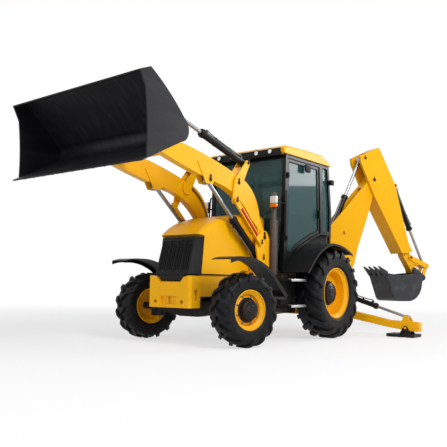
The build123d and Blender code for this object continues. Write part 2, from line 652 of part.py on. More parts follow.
ROOF = ((985, 2800), (1002, 2880), (925, 2925), (350, 2951), (-134, 2951), (-350, 2880), (-425, 2800))
ROOF_HALF = 750.0
LAMP_DEEP = 40.0
LAMP_X, REAR_LAMP_X = 985.0, -450.0
FRONT_LAMPS = ((-500, 2842, 36), (-245, 2842, 36), (245, 2842, 36), (500, 2842, 36))    # y, z, radius
REAR_LAMPS = ((-450, 2825, 40), (450, 2825, 40))
with BuildPart() as cab_roof:
    with BuildSketch(side(ROOF_HALF)):
        Polygon(*ROOF, align=None)
    extrude(amount=2 * ROOF_HALF)
    fillet(cab_roof.edges().filter_by(lambda edge: abs(abs(edge.center().Y) - ROOF_HALF) < 1
                                      and edge.center().Z > 2840), 45)
    for x, lamps in ((LAMP_X, FRONT_LAMPS), (REAR_LAMP_X, REAR_LAMPS)):
        for y, z, radius in lamps:
            with BuildSketch(across(x - PIN_FIT)):
                with Locations((y, z)):
                    Circle(radius + PIN_FIT)
            extrude(amount=LAMP_DEEP + 2 * PIN_FIT, mode=Mode.SUBTRACT)

with BuildPart() as cab_glass:
    for pane in (
        ((880, 2740), (886, 2740), (934, 1300), (928, 1300)),
        ((-384, 2740), (-378, 2740), (-452, 2030), (-458, 2030)),
    ):
        with BuildSketch(side(CAB_INSIDE - PIN_FIT)):
            Polygon(*pane, align=None)
        extrude(amount=2 * (CAB_INSIDE - PIN_FIT))
    for hand in (1, -1):
        with BuildSketch(side(hand * (CAB_HALF - CAB_WALL / 2))) as quarter:
            Polygon(*QUARTER_WINDOW, align=None)
            offset(amount=-PIN_FIT, kind=Kind.INTERSECTION)
        extrude(amount=GLASS / 2, both=True)

DOOR_GAP = 8.0
doors = {}
for name, hand in (("left", 1), ("right", -1)):
    with BuildPart() as door:
        with BuildSketch(side(hand * (CAB_HALF - CAB_WALL / 2))):
            Polygon(*DOOR, align=None)
            offset(amount=-DOOR_GAP, kind=Kind.INTERSECTION)
        extrude(amount=18, both=True)
        with BuildSketch(side(hand * (CAB_HALF - CAB_WALL / 2))):
            Polygon(*DOOR, align=None)
            offset(amount=-DOOR_GAP - PILLAR, kind=Kind.INTERSECTION)
        extrude(amount=18, both=True, mode=Mode.SUBTRACT)
        with BuildSketch(side(hand * (CAB_HALF + 8))):
            with Locations((-66, 1960)):
                Rectangle(26, 130)
        extrude(amount=24, both=True)
        for share in HINGES:
            with BuildSketch(hinge(hand, share)):
                Circle(14)
                with Locations((-32, -hand * 30), (-46, -hand * 30)):
                    Circle(5)
                make_hull()
                Circle(HINGE_PIN + PIN_FIT, mode=Mode.SUBTRACT)
            extrude(amount=30, both=True)
    with BuildPart() as pane:
        with BuildSketch(side(hand * (CAB_HALF - CAB_WALL / 2))):
            Polygon(*DOOR, align=None)
            offset(amount=-DOOR_GAP - PILLAR - PIN_FIT, kind=Kind.INTERSECTION)
        extrude(amount=GLASS / 2, both=True)
    doors[name] = (door.part, pane.part)

with BuildPart() as seat:
    with BuildSketch(level(1400)) as cushion:
        with Locations((290, 0)):
            Rectangle(480, 480)
        fillet(cushion.vertices(), 60)
    extrude(amount=110)
    with BuildSketch(side(0)) as back:
        Polygon((40, 1520), (-60, 2080), (20, 2095), (130, 1540), align=None)
        fillet(back.vertices(), 35)
    extrude(amount=230, both=True)
    with BuildSketch(level(FLOOR_Z)):
        with Locations((290, 0)):
            Rectangle(300, 300)
    extrude(amount=385)
    with BuildSketch(side(0)):
        Polygon((60, 1440), (20, 1600), (70, 1600), (110, 1440), align=None)
    extrude(amount=60, both=True)

with BuildPart() as cab_controls:
    column = Plane(origin=(REAR_AXLE_X + 740, 0, 1610.6), x_dir=(0, 1, 0), z_dir=(-0.451, 0, 0.892))
    with BuildSketch(column.offset(PIN_FIT)):
        Circle(30)
    extrude(amount=200)
    with BuildSketch(Plane(origin=column.origin + column.z_dir * 200, x_dir=column.z_dir,
                           z_dir=column.x_dir.cross(column.z_dir))):
        with Locations((0, 185)):
            Circle(15)
    revolve(axis=Axis(column.origin, column.z_dir))
    with BuildSketch(column.offset(192)):
        Rectangle(350, 26)
        Rectangle(26, 350)
    extrude(amount=14)
    for y in (-180, 180):
        with BuildSketch(level(FLOOR_Z)):
            with Locations((-300, y)):
                Rectangle(110, 110)
        extrude(amount=560)
        with BuildSketch(level(FLOOR_Z + 560)):
            with Locations((-300, y)):
                Circle(12)
        extrude(amount=240)
        with BuildSketch(level(FLOOR_Z + 790)):
            with Locations((-300, y)):
                Circle(24)
        extrude(amount=60)

STACK = (1060.0, 610.0)
with BuildPart() as exhaust_stack:
    with BuildSketch(level(960.3)):
        with Locations(STACK):
            Circle(58)
    extrude(amount=810)
    with BuildSketch(level(1770)):
        with Locations(STACK):
            Circle(38)
    extrude(amount=420)

with BuildPart() as work_lamps:
    for x, lamps in ((LAMP_X, FRONT_LAMPS), (REAR_LAMP_X, REAR_LAMPS)):
        for y, z, radius in lamps:
            with BuildSketch(across(x)):
                with Locations((y, z)):
                    Circle(radius)
            extrude(amount=LAMP_DEEP)

# ---------------------------------------------------------------- loader
LIFT_BRACKET = ((2736, 2406), (2562, 2136), (2420, 2140), (2330, 2290), (2420, 2440))
PLATE = 12.0
with BuildPart() as loader_arms:
    with BuildSketch(side(ARM_OUT)) as arm:
        with BuildLine():
            Line((1180, 1545), (1330, 1790))
            ThreePointArc((1330, 1790), (1470, 2110), (1742, 2303))
            Line((1742, 2303), (1920, 2352))
            ThreePointArc((1920, 2352), (2533, 2508), (3470, 2638))
            Line((3470, 2638), (3450, 2426))
            ThreePointArc((3450, 2426), (2743, 2253), (2160, 2147))
            ThreePointArc((2160, 2147), (1870, 2030), (1533, 1746))
            Polyline((1533, 1746), (1385, 1650), (1320, 1478), (1180, 1545))
        make_face()
        with Locations(ARM_PIVOT):
            Circle(78)
        with Locations(BUCKET_PIN):
            Circle(106)
    extrude(amount=ARM_OUT - ARM_IN)
    with BuildSketch(side(ARM_OUT - PLATE)):
        with Locations(LIFT_PIN):
            Circle(165)
    extrude(amount=ARM_OUT - ARM_IN - 2 * PLATE, mode=Mode.SUBTRACT)
    for outer in (ARM_OUT + PLATE, ARM_IN):
        with BuildSketch(side(outer)):
            Polygon(*LIFT_BRACKET, align=None)
            with Locations(LIFT_PIN):
                Circle(62)
        extrude(amount=PLATE)
    for centre, radius in ((ARM_PIVOT, 35), (BUCKET_PIN, 30), (LEVER_PIN, 28)):
        with BuildSketch(side(ARM_OUT + 50)):
            with Locations(centre):
                Circle(radius + PIN_FIT)
        extrude(amount=250, mode=Mode.SUBTRACT)
    with BuildSketch(side(ARM_OUT + PLATE + 10)):
        with Locations(LIFT_PIN):
            Circle(30)
    extrude(amount=10)
    mirror(about=Plane.XZ)
    with BuildSketch(side(ARM_IN)):
        with Locations((3220, 2490)):
            Circle(68)
            Circle(56, mode=Mode.SUBTRACT)
    extrude(amount=2 * ARM_IN)

RAM_EYE = 40.0
with BuildPart() as tilt_levers:
    for outer, ends in ((LEVER_OUT, (LEVER_TOP, LEVER_FOOT)), (ARM_IN - SIDE_GAP, (LEVER_TOP,))):
        for end in ends:
            with BuildSketch(side(outer)):
                with Locations(LEVER_PIN):
                    Circle(88)
                with Locations(end):
                    Circle(44)
                make_hull()
            extrude(amount=LEVER_PLATE)
    for centre, radius in ((LEVER_PIN, 28), (LEVER_TOP, 25)):
        with BuildSketch(side(LEVER_OUT + PIN_HEAD)):
            with Locations(centre):
                Circle(radius)
        extrude(amount=LEVER_OUT - LEVER_IN + PIN_HEAD)
    with BuildSketch(side(LEVER_OUT + PIN_HEAD)):
        with Locations(LEVER_FOOT):
            Circle(34)
    extrude(amount=PIN_HEAD)
    mirror(about=Plane.XZ)

with BuildPart() as level_links:
    with BuildSketch(side(LINK_OUT)):
        with Locations(LINK_BASE, LEVER_FOOT):
            Circle(42)
        make_hull()
        with Locations(LINK_BASE):
            Circle(LINK_PIN + PIN_FIT, mode=Mode.SUBTRACT)
    extrude(amount=LINK_THICK)
    with BuildSketch(side(LINK_OUT + PIN_HEAD)):
        with Locations(LEVER_FOOT):
            Circle(26)
    extrude(amount=PIN_HEAD)
    mirror(about=Plane.XZ)


def pair(part):
    """A part and its mirror image on the other side of the machine."""
    with BuildPart() as made:
        add(part)
        mirror(about=Plane.XZ)
    return made.part


lift_barrel, lift_rod = ram(side(ARM_MID), LIFT_BASE, LIFT_PIN, 835, 300, 50, 28, 46, RAM_EYE, 25)
tilt_barrel, tilt_rod = ram(side(ARM_MID), LEVER_TOP, TILT_EAR, 985, 260, 50, 27, 46, RAM_EYE, 25)

BUCKET_LIP, BUCKET_TOP = (4247, 2114), (4379, 3044)
BUCKET_FRONT = ((4285, 2862), (4250, 2500), BUCKET_LIP)             # start, through, end of each bend
BUCKET_HEEL = ((3720, 2386), (3612, 2480), (3668, 2650))
BUCKET_BACK = ((3668, 2650), (3838, 2822), (4225, 3112))
BUCKET_MOUTH = ((4180, 2168.7), (4344, 2084), (4463, 2987), (4280, 3068))
BUCKET_PLATE = 18.0
CUTTING_EDGE = ((4180, 2148.5), (4318, 2077.4), (4330, 2091), (4188, 2168.7))
HANGER = (
    (3480, 2456), (3640, 2435), (3700, 2560), (3900, 2850), (3690, 3130), (3600, 3145), (3408, 2545),
)
with BuildSketch() as bucket_outline:
    with BuildLine():
        Line(BUCKET_TOP, BUCKET_FRONT[0])
        ThreePointArc(*BUCKET_FRONT)
        Line(BUCKET_LIP, BUCKET_HEEL[0])
        ThreePointArc(*BUCKET_HEEL)
        ThreePointArc(*BUCKET_BACK)
        Line(BUCKET_BACK[2], BUCKET_TOP)
    make_face()
with BuildPart() as loader_bucket:
    with BuildSketch(side(BUCKET_HALF)):
        add(bucket_outline.sketch)
    extrude(amount=2 * BUCKET_HALF)
    for hand in (1, -1):
        for outer in (LEVER_OUT, ARM_IN - SIDE_GAP):
            y_from = outer if hand > 0 else -outer + LEVER_PLATE
            with BuildSketch(side(y_from)):
                Polygon(*HANGER, align=None)
                with Locations(BUCKET_PIN):
                    Circle(75)
                with Locations(TILT_EAR):
                    Circle(55)
            extrude(amount=LEVER_PLATE)
    with BuildSketch(side(BUCKET_HALF - BUCKET_PLATE)):
        add(bucket_outline.sketch)
        offset(amount=-BUCKET_PLATE, kind=Kind.INTERSECTION)
        Polygon(*BUCKET_MOUTH, align=None)
    extrude(amount=2 * (BUCKET_HALF - BUCKET_PLATE), mode=Mode.SUBTRACT)
    with BuildSketch(side(BUCKET_HALF)):
        Polygon(*CUTTING_EDGE, align=None)
    extrude(amount=2 * BUCKET_HALF)
    for hand in (1, -1):
        with BuildSketch(side(hand * ARM_MID)):
            with Locations(BUCKET_PIN):
                Circle(30)
        extrude(amount=LEVER_OUT - ARM_MID + 8, both=True)
        for inner, outer in ((ARM_MID + RAM_EYE + SIDE_GAP, LEVER_OUT + 8),
                             (LEVER_IN - 8, ARM_MID - RAM_EYE - SIDE_GAP)):
            with BuildSketch(side(outer if hand > 0 else -inner)):
                with Locations(TILT_EAR):
                    Circle(28)
            extrude(amount=outer - inner)

# ---------------------------------------------------------------- backhoe
KING_HALF = 72.0
TOWER_IN = 55.0
KING_ARM = ((0, 450), (0, 862), (160, 865), (250, 862), (312, 790), (300, 700), (150, 450))
KING_TOWER = (
    (162, 800), (162, 965), (0, 965), (-75, 1015), (-92, 1062), (-75, 1100), (-40, 1114), (80, 1108), (235, 925),
    (235, 800),
)
with BuildPart() as kingpost:
    with BuildSketch(level(SLEW_LUGS[0][1] + 5)):
        with Locations((SLEW_X, 0)):
            Circle(105)
    extrude(amount=SLEW_LUGS[1][0] - SLEW_LUGS[0][1] - 10)
    with BuildSketch(level(SLEW_LUGS[0][0] - 10)):
        with Locations((SLEW_X, 0)):
            Circle(SLEW_PIN)
    extrude(amount=SLEW_LUGS[1][1] - SLEW_LUGS[0][0] + 15)
    with BuildSketch(hoe()):
        Polygon(*KING_ARM, align=None)
        with Locations(BOOM_FOOT):
            Circle(62)
    extrude(amount=KING_HALF, both=True)
    for off in (KING_HALF, -TOWER_IN):
        with BuildSketch(hoe(off)):
            Polygon(*KING_TOWER, align=None)
        extrude(amount=-(KING_HALF - TOWER_IN))
    with BuildSketch(hoe()):
        with Locations(BOOM_RAM_BASE):
            Circle(24)
    extrude(amount=KING_HALF, both=True)
    with BuildSketch(hoe()):
        with Locations(BOOM_FOOT):
            Circle(35 + PIN_FIT)
    extrude(amount=KING_HALF + 5, both=True, mode=Mode.SUBTRACT)

BOOM_SIDE = (
    (165, 830), (150, 1500), (165, 1925), (1005, 2802), (1080, 2920), (1236, 2850), (1165, 2582),
    (984, 2053), (779, 1535), (700, 1235), (560, 980), (310, 745),
)
BOOM_CHORD = ((1165, 2582), (984, 2053), (779, 1535), (700, 1235), (560, 980), (470, 892))
BOOM_SLOT = BOOM_HALF - BOOM_PLATE
with BuildPart() as boom:
    for off in (BOOM_HALF, -BOOM_SLOT):
        with BuildSketch(hoe(off)):
            Polygon(*BOOM_SIDE, align=None)
            with Locations(BOOM_FOOT):
                Circle(88)
            with Locations(DIPPER_PIVOT):
                Circle(95)
        extrude(amount=-BOOM_PLATE)
    with BuildSketch(hoe()):
        Polygon(*BOOM_CHORD, *[(r - 26, z + 8) for r, z in reversed(BOOM_CHORD)], align=None)
    extrude(amount=BOOM_SLOT, both=True)
    with BuildSketch(hoe()):
        with Locations(DIPPER_PIVOT):
            Circle(95)
        Polygon((930, 2700), (1005, 2802), (1080, 2920), (1150, 2860), (1165, 2582), (1130, 2560), (1060, 2760),
                align=None)
    extrude(amount=BOOM_SLOT, both=True)
    for centre, radius, inner in ((BOOM_FOOT, 35, 0), (DIPPER_RAM_BASE, 25, 0), (BOOM_RAM_PIN, 26, 56)):
        for off, depth in ((BOOM_HALF + 8, BOOM_HALF + 8 - inner), (-inner, BOOM_HALF + 8 - inner)):
            with BuildSketch(hoe(off)):
                with Locations(centre):
                    Circle(radius)
            extrude(amount=-depth)
    with BuildSketch(hoe()):
        with Locations(DIPPER_PIVOT):
            Circle(35 + PIN_FIT)
    extrude(amount=BOOM_HALF + 5, both=True, mode=Mode.SUBTRACT)

DIPPER_SIDE = (
    (810, 3291), (1254, 3506), (1305, 3442), (1630, 2861), (1698, 2672), (1967, 1716), (2080, 1500),
    (1819, 1463), (1157, 2520), (826, 3171),
)
DIPPER_SLOT = (
    (650, 3000), (650, 3500), (1010, 3500), (1060, 3345), (1240, 3432), (1560, 2862), (1330, 2640),
    (1180, 2500), (1000, 2500),
)
SLOT_HALF = BOOM_HALF + 8
with BuildPart() as dipper:
    with BuildSketch(hoe()) as outline:
        Polygon(*DIPPER_SIDE, align=None)
        fillet(outline.vertices(), 18)
    extrude(amount=DIPPER_HALF, both=True)
    with BuildSketch(hoe()):
        Polygon(*DIPPER_SLOT, align=None)
        with Locations(DIPPER_PIVOT):
            Circle(310)
    extrude(amount=SLOT_HALF, both=True, mode=Mode.SUBTRACT)
    with BuildSketch(hoe()):
        with Locations((2000, 1455)):
            Circle(85)
        with Locations(HOE_BUCKET_PIN):
            Circle(NOSE_RADIUS)
        make_hull()
    extrude(amount=NOSE_HALF, both=True)
    for off in (78, -58):
        with BuildSketch(hoe(off)):
            with Locations(BUCKET_RAM_BASE):
                Circle(48)
            with Locations((1600, 2900), (1690, 2680)):
                Circle(10)
            make_hull()
        extrude(amount=-20)
    for centre, radius, outer in ((DIPPER_PIVOT, 35, DIPPER_HALF + 8), (BUCKET_RAM_BASE, 22, 84)):
        with BuildSketch(hoe()):
            with Locations(centre):
                Circle(radius)
        extrude(amount=outer, both=True)
    for start, end, radius in ((SLOT_HALF, DIPPER_HALF + 8, 46), (DIPPER_EYE + SIDE_GAP, SLOT_HALF, 30)):
        for off in (end, -start):
            with BuildSketch(hoe(off)):
                with Locations(DIPPER_RAM_PIN):
                    Circle(radius)
            extrude(amount=start - end)
    for centre, radius in ((HOE_BUCKET_PIN, 30), (LEVER_PIVOT, 25)):
        with BuildSketch(hoe()):
            with Locations(centre):
                Circle(radius + PIN_FIT)
        extrude(amount=NOSE_HALF + 100, both=True, mode=Mode.SUBTRACT)

LEVER_OFFSETS = (104.0, -82.0)
LINK_OFFSETS = (76.0, -54.0)
with BuildPart() as tipping_lever:
    for off in LEVER_OFFSETS:
        with BuildSketch(hoe(off)):
            with Locations(LEVER_PIVOT, LEVER_END):
                Circle(46)
            make_hull()
        extrude(amount=-22)
    with BuildSketch(hoe()):
        with Locations(LEVER_PIVOT):
            Circle(25)
    extrude(amount=110, both=True)
    for off in (110, -48):
        with BuildSketch(hoe(off)):
            with Locations(LEVER_END):
                Circle(22)
        extrude(amount=-62)

with BuildPart() as tipping_link:
    for off in LINK_OFFSETS:
        with BuildSketch(hoe(off)):
            with Locations(LEVER_END, HOE_BUCKET_EAR):
                Circle(38)
            make_hull()
        extrude(amount=-22)
    with BuildSketch(hoe()):
        with Locations(HOE_BUCKET_EAR):
            Circle(38)
    extrude(amount=76, both=True)
    with BuildSketch(hoe()):
        with Locations(LEVER_END):
            Circle(22 + PIN_FIT)
    extrude(amount=80, both=True, mode=Mode.SUBTRACT)

HOE_PLATE = 14.0
TOOTH = ((1392, 1012), (1330, 1015), (1181, 1197), (1385, 1100))
with BuildSketch() as hoe_bucket_outline:
    with BuildLine():
        Line((1340, 1068), (1502, 636))
        ThreePointArc((1502, 636), (1548, 562), (1630, 538))
        Line((1630, 538), (1880, 538))
        ThreePointArc((1880, 538), (2105, 636), (2210, 840))
        Polyline((2210, 840), (2245, 1000), (2235, 1090), (1925, 1060), (1675, 1035), (1340, 1068))
    make_face()
with BuildPart() as backhoe_bucket:
    with BuildSketch(hoe()):
        add(hoe_bucket_outline.sketch)
    extrude(amount=HOE_BUCKET_HALF, both=True)
    with BuildSketch(hoe()):
        add(hoe_bucket_outline.sketch)
        offset(amount=-HOE_PLATE, kind=Kind.INTERSECTION)
        Polygon((1360, 1050), (1330, 1200), (2200, 1200), (2215, 1060), (1925, 1000), (1675, 990), align=None)
    extrude(amount=HOE_BUCKET_HALF - HOE_PLATE, both=True, mode=Mode.SUBTRACT)
    with BuildSketch(hoe()):
        with Locations(HOE_BUCKET_PIN):
            Circle(NOSE_RADIUS + SIDE_GAP)
    extrude(amount=NOSE_HALF + SIDE_GAP, both=True, mode=Mode.SUBTRACT)
    for number in range(4):
        with BuildSketch(hoe(-220 + number * 146.7)):
            Polygon(*TOOTH, align=None)
        extrude(amount=26, both=True)
    for off in (104, -84):
        with BuildSketch(hoe(off)):
            with Locations(HOE_BUCKET_PIN):
                Circle(60)
            with Locations(HOE_BUCKET_EAR):
                Circle(46)
            with Locations((2190, 830), (2228, 1040)):
                Circle(12)
            make_hull()
        extrude(amount=-20)
    with BuildSketch(hoe()):
        with Locations(HOE_BUCKET_PIN):
            Circle(30)
    extrude(amount=112, both=True)

boom_barrel, boom_rod = ram(hoe(), BOOM_RAM_BASE, BOOM_RAM_PIN, 730, 540, 50, 28, 48, 48, 24)
dipper_barrel, dipper_rod = ram(hoe(), DIPPER_RAM_BASE, DIPPER_RAM_PIN, 885, 115, 54, 30, 50, DIPPER_EYE, 25)
bucket_barrel, bucket_rod = ram(hoe(), BUCKET_RAM_BASE, LEVER_END, 950, 200, 50, 28, 44, 44, 22)

# ---------------------------------------------------------------- stabilisers
LEG_SIDE = ((500, 450), (1470, 262), (1975, 248), (1975, 98), (1840, 104), (1470, 150), (500, 315))
PAD_FOOT, PAD_THICK = 12.0, 45.0
legs = {}
for name, hand in (("left", 1), ("right", -1)):
    with BuildPart() as leg:
        with BuildSketch(leg_plane(hand)) as beam:
            Polygon(*LEG_SIDE, align=None)
            fillet(beam.vertices(), 15)
            with Locations(LEG_PIVOT):
                Circle(74)
        extrude(amount=LEG_HALF, both=True)
        for off in (LEG_HALF, -LEG_HALF + 14):
            with BuildSketch(leg_plane(hand, off)):
                with Locations(LEG_EAR):
                    Circle(36)
                with Locations((1690, 240), (1835, 240)):
                    Circle(10)
                make_hull()
            extrude(amount=-14)
        with BuildSketch(leg_plane(hand)):
            with Locations(LEG_PIVOT):
                Circle(35 + PIN_FIT)
        extrude(amount=LEG_HALF + 5, both=True, mode=Mode.SUBTRACT)
        with BuildSketch(leg_plane(hand)):
            with Locations(PAD_PIN):
                Circle(20)
        extrude(amount=LEG_HALF + 25, both=True)
    with BuildPart() as pad:
        with BuildSketch(level(PAD_FOOT)) as sole:
            with Locations((LEG_X, hand * 1700)):
                Rectangle(330, 470)
            fillet(sole.vertices(), 20)
        extrude(amount=PAD_THICK)
        for off in (LEG_HALF + 21, -LEG_HALF - 6):
            with BuildSketch(leg_plane(hand, off)):
                with Locations(PAD_PIN):
                    Circle(34)
                with Locations((1660, 50), (1860, 50)):
                    Circle(5)
                make_hull()
                with Locations(PAD_PIN):
                    Circle(20 + PIN_FIT, mode=Mode.SUBTRACT)
            extrude(amount=-15)
    barrel, rod = ram(leg_plane(hand), LEG_RAM_BASE, LEG_EAR, 890, 200, 42, 25, 38, 42, 22)
    legs[name] = (leg.part, pad.part, barrel, rod)

# ---------------------------------------------------------------- write every piece
for name, part in {
    "main_frame": main_frame.part, "rear_frame": rear_frame.part, "counterweight": counterweight.part,
    "bonnet": bonnet.part, "radiator_grille": radiator_grille.part, "powertrain": powertrain.part,
    "rear_axle": rear_axle.part, "front_axle": front_axle.part, "knuckle_left": knuckles["left"],
    "knuckle_right": knuckles["right"], "fenders": fenders.part,
    "side_tanks": side_tanks.part, "cab_frame": cab_frame.part,
    "cab_floor": cab_floor.part, "cab_roof": cab_roof.part, "cab_glass": cab_glass.part,
    "door_left": doors["left"][0], "door_glass_left": doors["left"][1], "door_right": doors["right"][0],
    "door_glass_right": doors["right"][1], "seat": seat.part, "cab_controls": cab_controls.part,
    "exhaust_stack": exhaust_stack.part,
    "work_lamps": work_lamps.part, "loader_arms": loader_arms.part,
    "tilt_levers": tilt_levers.part,
    "level_links": level_links.part, "lift_barrels": pair(lift_barrel), "lift_rods": pair(lift_rod),
    "tilt_barrels": pair(tilt_barrel), "tilt_rods": pair(tilt_rod), "loader_bucket": loader_bucket.part,
    "kingpost": kingpost.part, "boom": boom.part, "boom_barrel": boom_barrel, "boom_rod": boom_rod,
    "dipper": dipper.part, "dipper_barrel": dipper_barrel, "dipper_rod": dipper_rod,
    "bucket_barrel": bucket_barrel, "bucket_rod": bucket_rod, "tipping_lever": tipping_lever.part,
    "tipping_link": tipping_link.part, "backhoe_bucket": backhoe_bucket.part,
}.items():
    save(part, name)
for name, pieces in legs.items():
    for kind, part in zip(("stabiliser_leg", "stabiliser_pad", "stabiliser_barrel", "stabiliser_rod"), pieces):
        save(part, f"{kind}_{name}")
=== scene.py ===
# %% [markdown]
# # A backhoe loader, dressed for the camera
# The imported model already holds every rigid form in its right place. This lesson
# gives each surface the finish that the real machine has, and adds what a solid
# model leaves out: tyre blocks, bolts, seals, steel pipes, wipers and cushions.

# %% Load the frame
import json
from math import cos, pi, radians, sin

import bmesh
import bpy
from mathutils import Matrix, Vector


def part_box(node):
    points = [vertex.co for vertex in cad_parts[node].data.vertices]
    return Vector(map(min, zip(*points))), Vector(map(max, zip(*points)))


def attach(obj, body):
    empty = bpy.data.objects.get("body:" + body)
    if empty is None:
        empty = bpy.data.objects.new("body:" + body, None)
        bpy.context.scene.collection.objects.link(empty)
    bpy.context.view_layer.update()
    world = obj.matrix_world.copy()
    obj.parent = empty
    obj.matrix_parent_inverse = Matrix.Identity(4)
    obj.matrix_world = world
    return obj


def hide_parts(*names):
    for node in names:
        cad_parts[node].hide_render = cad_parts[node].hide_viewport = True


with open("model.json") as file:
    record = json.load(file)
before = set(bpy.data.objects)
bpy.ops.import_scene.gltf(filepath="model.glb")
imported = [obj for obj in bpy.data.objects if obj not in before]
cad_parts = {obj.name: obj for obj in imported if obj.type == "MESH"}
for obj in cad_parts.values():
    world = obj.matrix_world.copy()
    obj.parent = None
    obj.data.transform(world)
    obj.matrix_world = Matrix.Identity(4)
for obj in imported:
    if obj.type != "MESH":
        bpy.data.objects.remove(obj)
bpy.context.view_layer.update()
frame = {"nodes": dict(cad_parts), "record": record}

# %% [markdown]
# ## Writing materials as sums
# A material is a small calculation over the surface. Wiring it by hand hides the
# idea, so one class wraps a socket and lets masks be added and multiplied like
# numbers. Each operation adds one Math node behind the scenes.


# %% A value that travels through a material
class Wire:
    """One socket's value. Sums and products of wires add Math nodes."""

    def __init__(self, nodes, socket):
        self.nodes = nodes
        self.socket = socket

    def math(self, operation, *values):
        return self.nodes.node("ShaderNodeMath", {"operation": operation}, dict(enumerate(values)))

    def __add__(self, other):
        return self.math("ADD", self, other)

    def __sub__(self, other):
        return self.math("SUBTRACT", self, other)

    def __rsub__(self, other):
        return self.math("SUBTRACT", other, self)

    def __mul__(self, other):
        return self.math("MULTIPLY", self, other)

    def clipped(self):
        """The value held between 0 and 1."""
        return self.math("MAXIMUM", self.math("MINIMUM", self, 1.0), 0.0)

    def wave(self):
        return self.math("SINE", self)

    def between(self, low, high):
        """A steeper mask, which is 0 at low and 1 at high."""
        return ((self - low) * (1.0 / (high - low))).clipped()

    __radd__ = __add__
    __rmul__ = __mul__


print("wires ready")

# %% [markdown]
# ## One way to add a node
# Every node is added by the same call: its kind, its settings, and then a value
# or a link for each socket that matters. The same call serves the materials and
# the world, so both read alike.


# %% A node tree
class Nodes:
    """The nodes of one material or of the world."""

    def __init__(self, tree):
        self.tree = tree

    def node(self, kind, settings, sockets, out=0):
        """Adds a node with its settings, fills its sockets and gives one of its outputs."""
        made = self.tree.nodes.new(kind)
        for key, value in settings.items():
            setattr(made, key, value)
        for key, value in sockets.items():
            self.join(made.inputs[key], value)
        return Wire(self, made.outputs[out])

    def join(self, socket, value):
        """Links a wire into a socket, or sets a plain value on it."""
        if isinstance(value, Wire):
            self.tree.links.new(value.socket, socket)
        else:
            socket.default_value = value


print("node helper ready")

# %% [markdown]
# ## Patterns that finishes are made of
# Sprayed paint, cast iron and moulded plastic differ in a few things only: how
# they fade, where their edges are rubbed and what grain they have. Each of these
# is one noise or one mask here, and the finishes below put them together.


# %% A finish and its patterns
class Finish(Nodes):
    """A material under construction, with its Principled surface."""

    def __init__(self, name):
        self.material = bpy.data.materials.new(name)
        self.material.use_nodes = True
        super().__init__(self.material.node_tree)
        self.surface = self.tree.nodes["Principled BSDF"]
        self.place = self.node("ShaderNodeTexCoord", {}, {}, "Object")

    def set(self, **values):
        """Fills sockets of the surface, with _ for each space of a socket's name."""
        for key, value in values.items():
            self.join(self.surface.inputs[key.replace("_", " ")], value)

    def axis(self, name):
        """The place along X, Y or Z, in metres."""
        return self.node("ShaderNodeSeparateXYZ", {}, {"Vector": self.place}, name)

    def stretched(self, scale):
        """The place, squeezed by a scale for each axis, so that a pattern on it runs in streaks."""
        return self.node("ShaderNodeMapping", {}, {"Vector": self.place, "Scale": scale}, "Vector")

    def noise(self, scale, detail, roughness=0.5, vector=None):
        sockets = {"Vector": vector or self.place, "Scale": scale, "Detail": detail, "Roughness": roughness}
        return self.node("ShaderNodeTexNoise", {}, sockets, "Fac")

    def cells(self, scale):
        """Small round grains, as in the skin of a moulding."""
        return self.node("ShaderNodeTexVoronoi", {}, {"Vector": self.place, "Scale": scale}, "Distance")

    def mix(self, factor, first, second):
        """One colour going over into another."""
        return self.node("ShaderNodeMix", {"data_type": "RGBA"}, {0: factor, 6: first, 7: second}, 2)

    def soft_edges(self, radius):
        """The normal of an edge as it is after breaking it with a file, and a mask of where it bends."""
        bent = self.node("ShaderNodeBevel", {"samples": 4}, {"Radius": radius})
        flat = self.node("ShaderNodeNewGeometry", {}, {}, "True Normal")
        same = self.node("ShaderNodeVectorMath", {"operation": "DOT_PRODUCT"}, {0: bent, 1: flat}, "Value")
        return bent, (1.0 - same).between(0.01, 0.22)

    def bump(self, height, depth, normal=None):
        sockets = {"Height": height, "Distance": depth}
        if normal is not None:
            sockets["Normal"] = normal
        return self.node("ShaderNodeBump", {}, sockets)


def colour(red, green, blue):
    return (red, green, blue, 1.0)


def shaded(base, share):
    """A colour made darker by a share below 1, or lighter by one above it."""
    return colour(*(value * share for value in base[:3]))


print("patterns ready")

# %% [markdown]
# ## The machine's paint
# Loader yellow is a two-pack enamel, sprayed thick: glossy, with a faint orange
# peel and a little road dust low down. Edges of cut plate are broken by hand
# before painting, which the Bevel node copies without a single extra face.

# %% Painted steel
ROAD_DUST = colour(0.19, 0.15, 0.11)
DUST_TOP = 1.15     # no dust above this height
DUST_FOOT = 0.15    # thickest below this one


def paint(name, base, worn, roughness, coat, peel=0.00025, dust=0.18):
    """Sprayed enamel over plate: peel, slight fading, rubbed edges, dust near the ground."""
    finish = Finish(name)
    broken, edges = finish.soft_edges(0.004)
    fade = finish.noise(0.9, 2.0)
    body = finish.mix(fade.between(0.3, 0.75), base, shaded(base, 0.90))
    chips = finish.noise(38.0, 4.0).between(0.52, 0.6) * edges
    body = finish.mix(chips * 0.55, body, worn)
    low_down = finish.axis("Z").between(DUST_TOP, DUST_FOOT)
    grime = low_down * finish.noise(5.5, 5.0, 0.6).between(0.42, 0.72)
    body = finish.mix(grime * dust, body, ROAD_DUST)
    ripple = finish.noise(140.0, 2.0)
    finish.set(Base_Color=body,
               Roughness=(roughness + grime * 0.3 + chips * 0.25 + (fade - 0.5) * 0.06).clipped(),
               Coat_Weight=(coat - grime * 0.2).clipped(), Coat_Roughness=0.12,
               Specular_IOR_Level=0.16, Normal=finish.bump(ripple, peel, broken))
    return finish.material


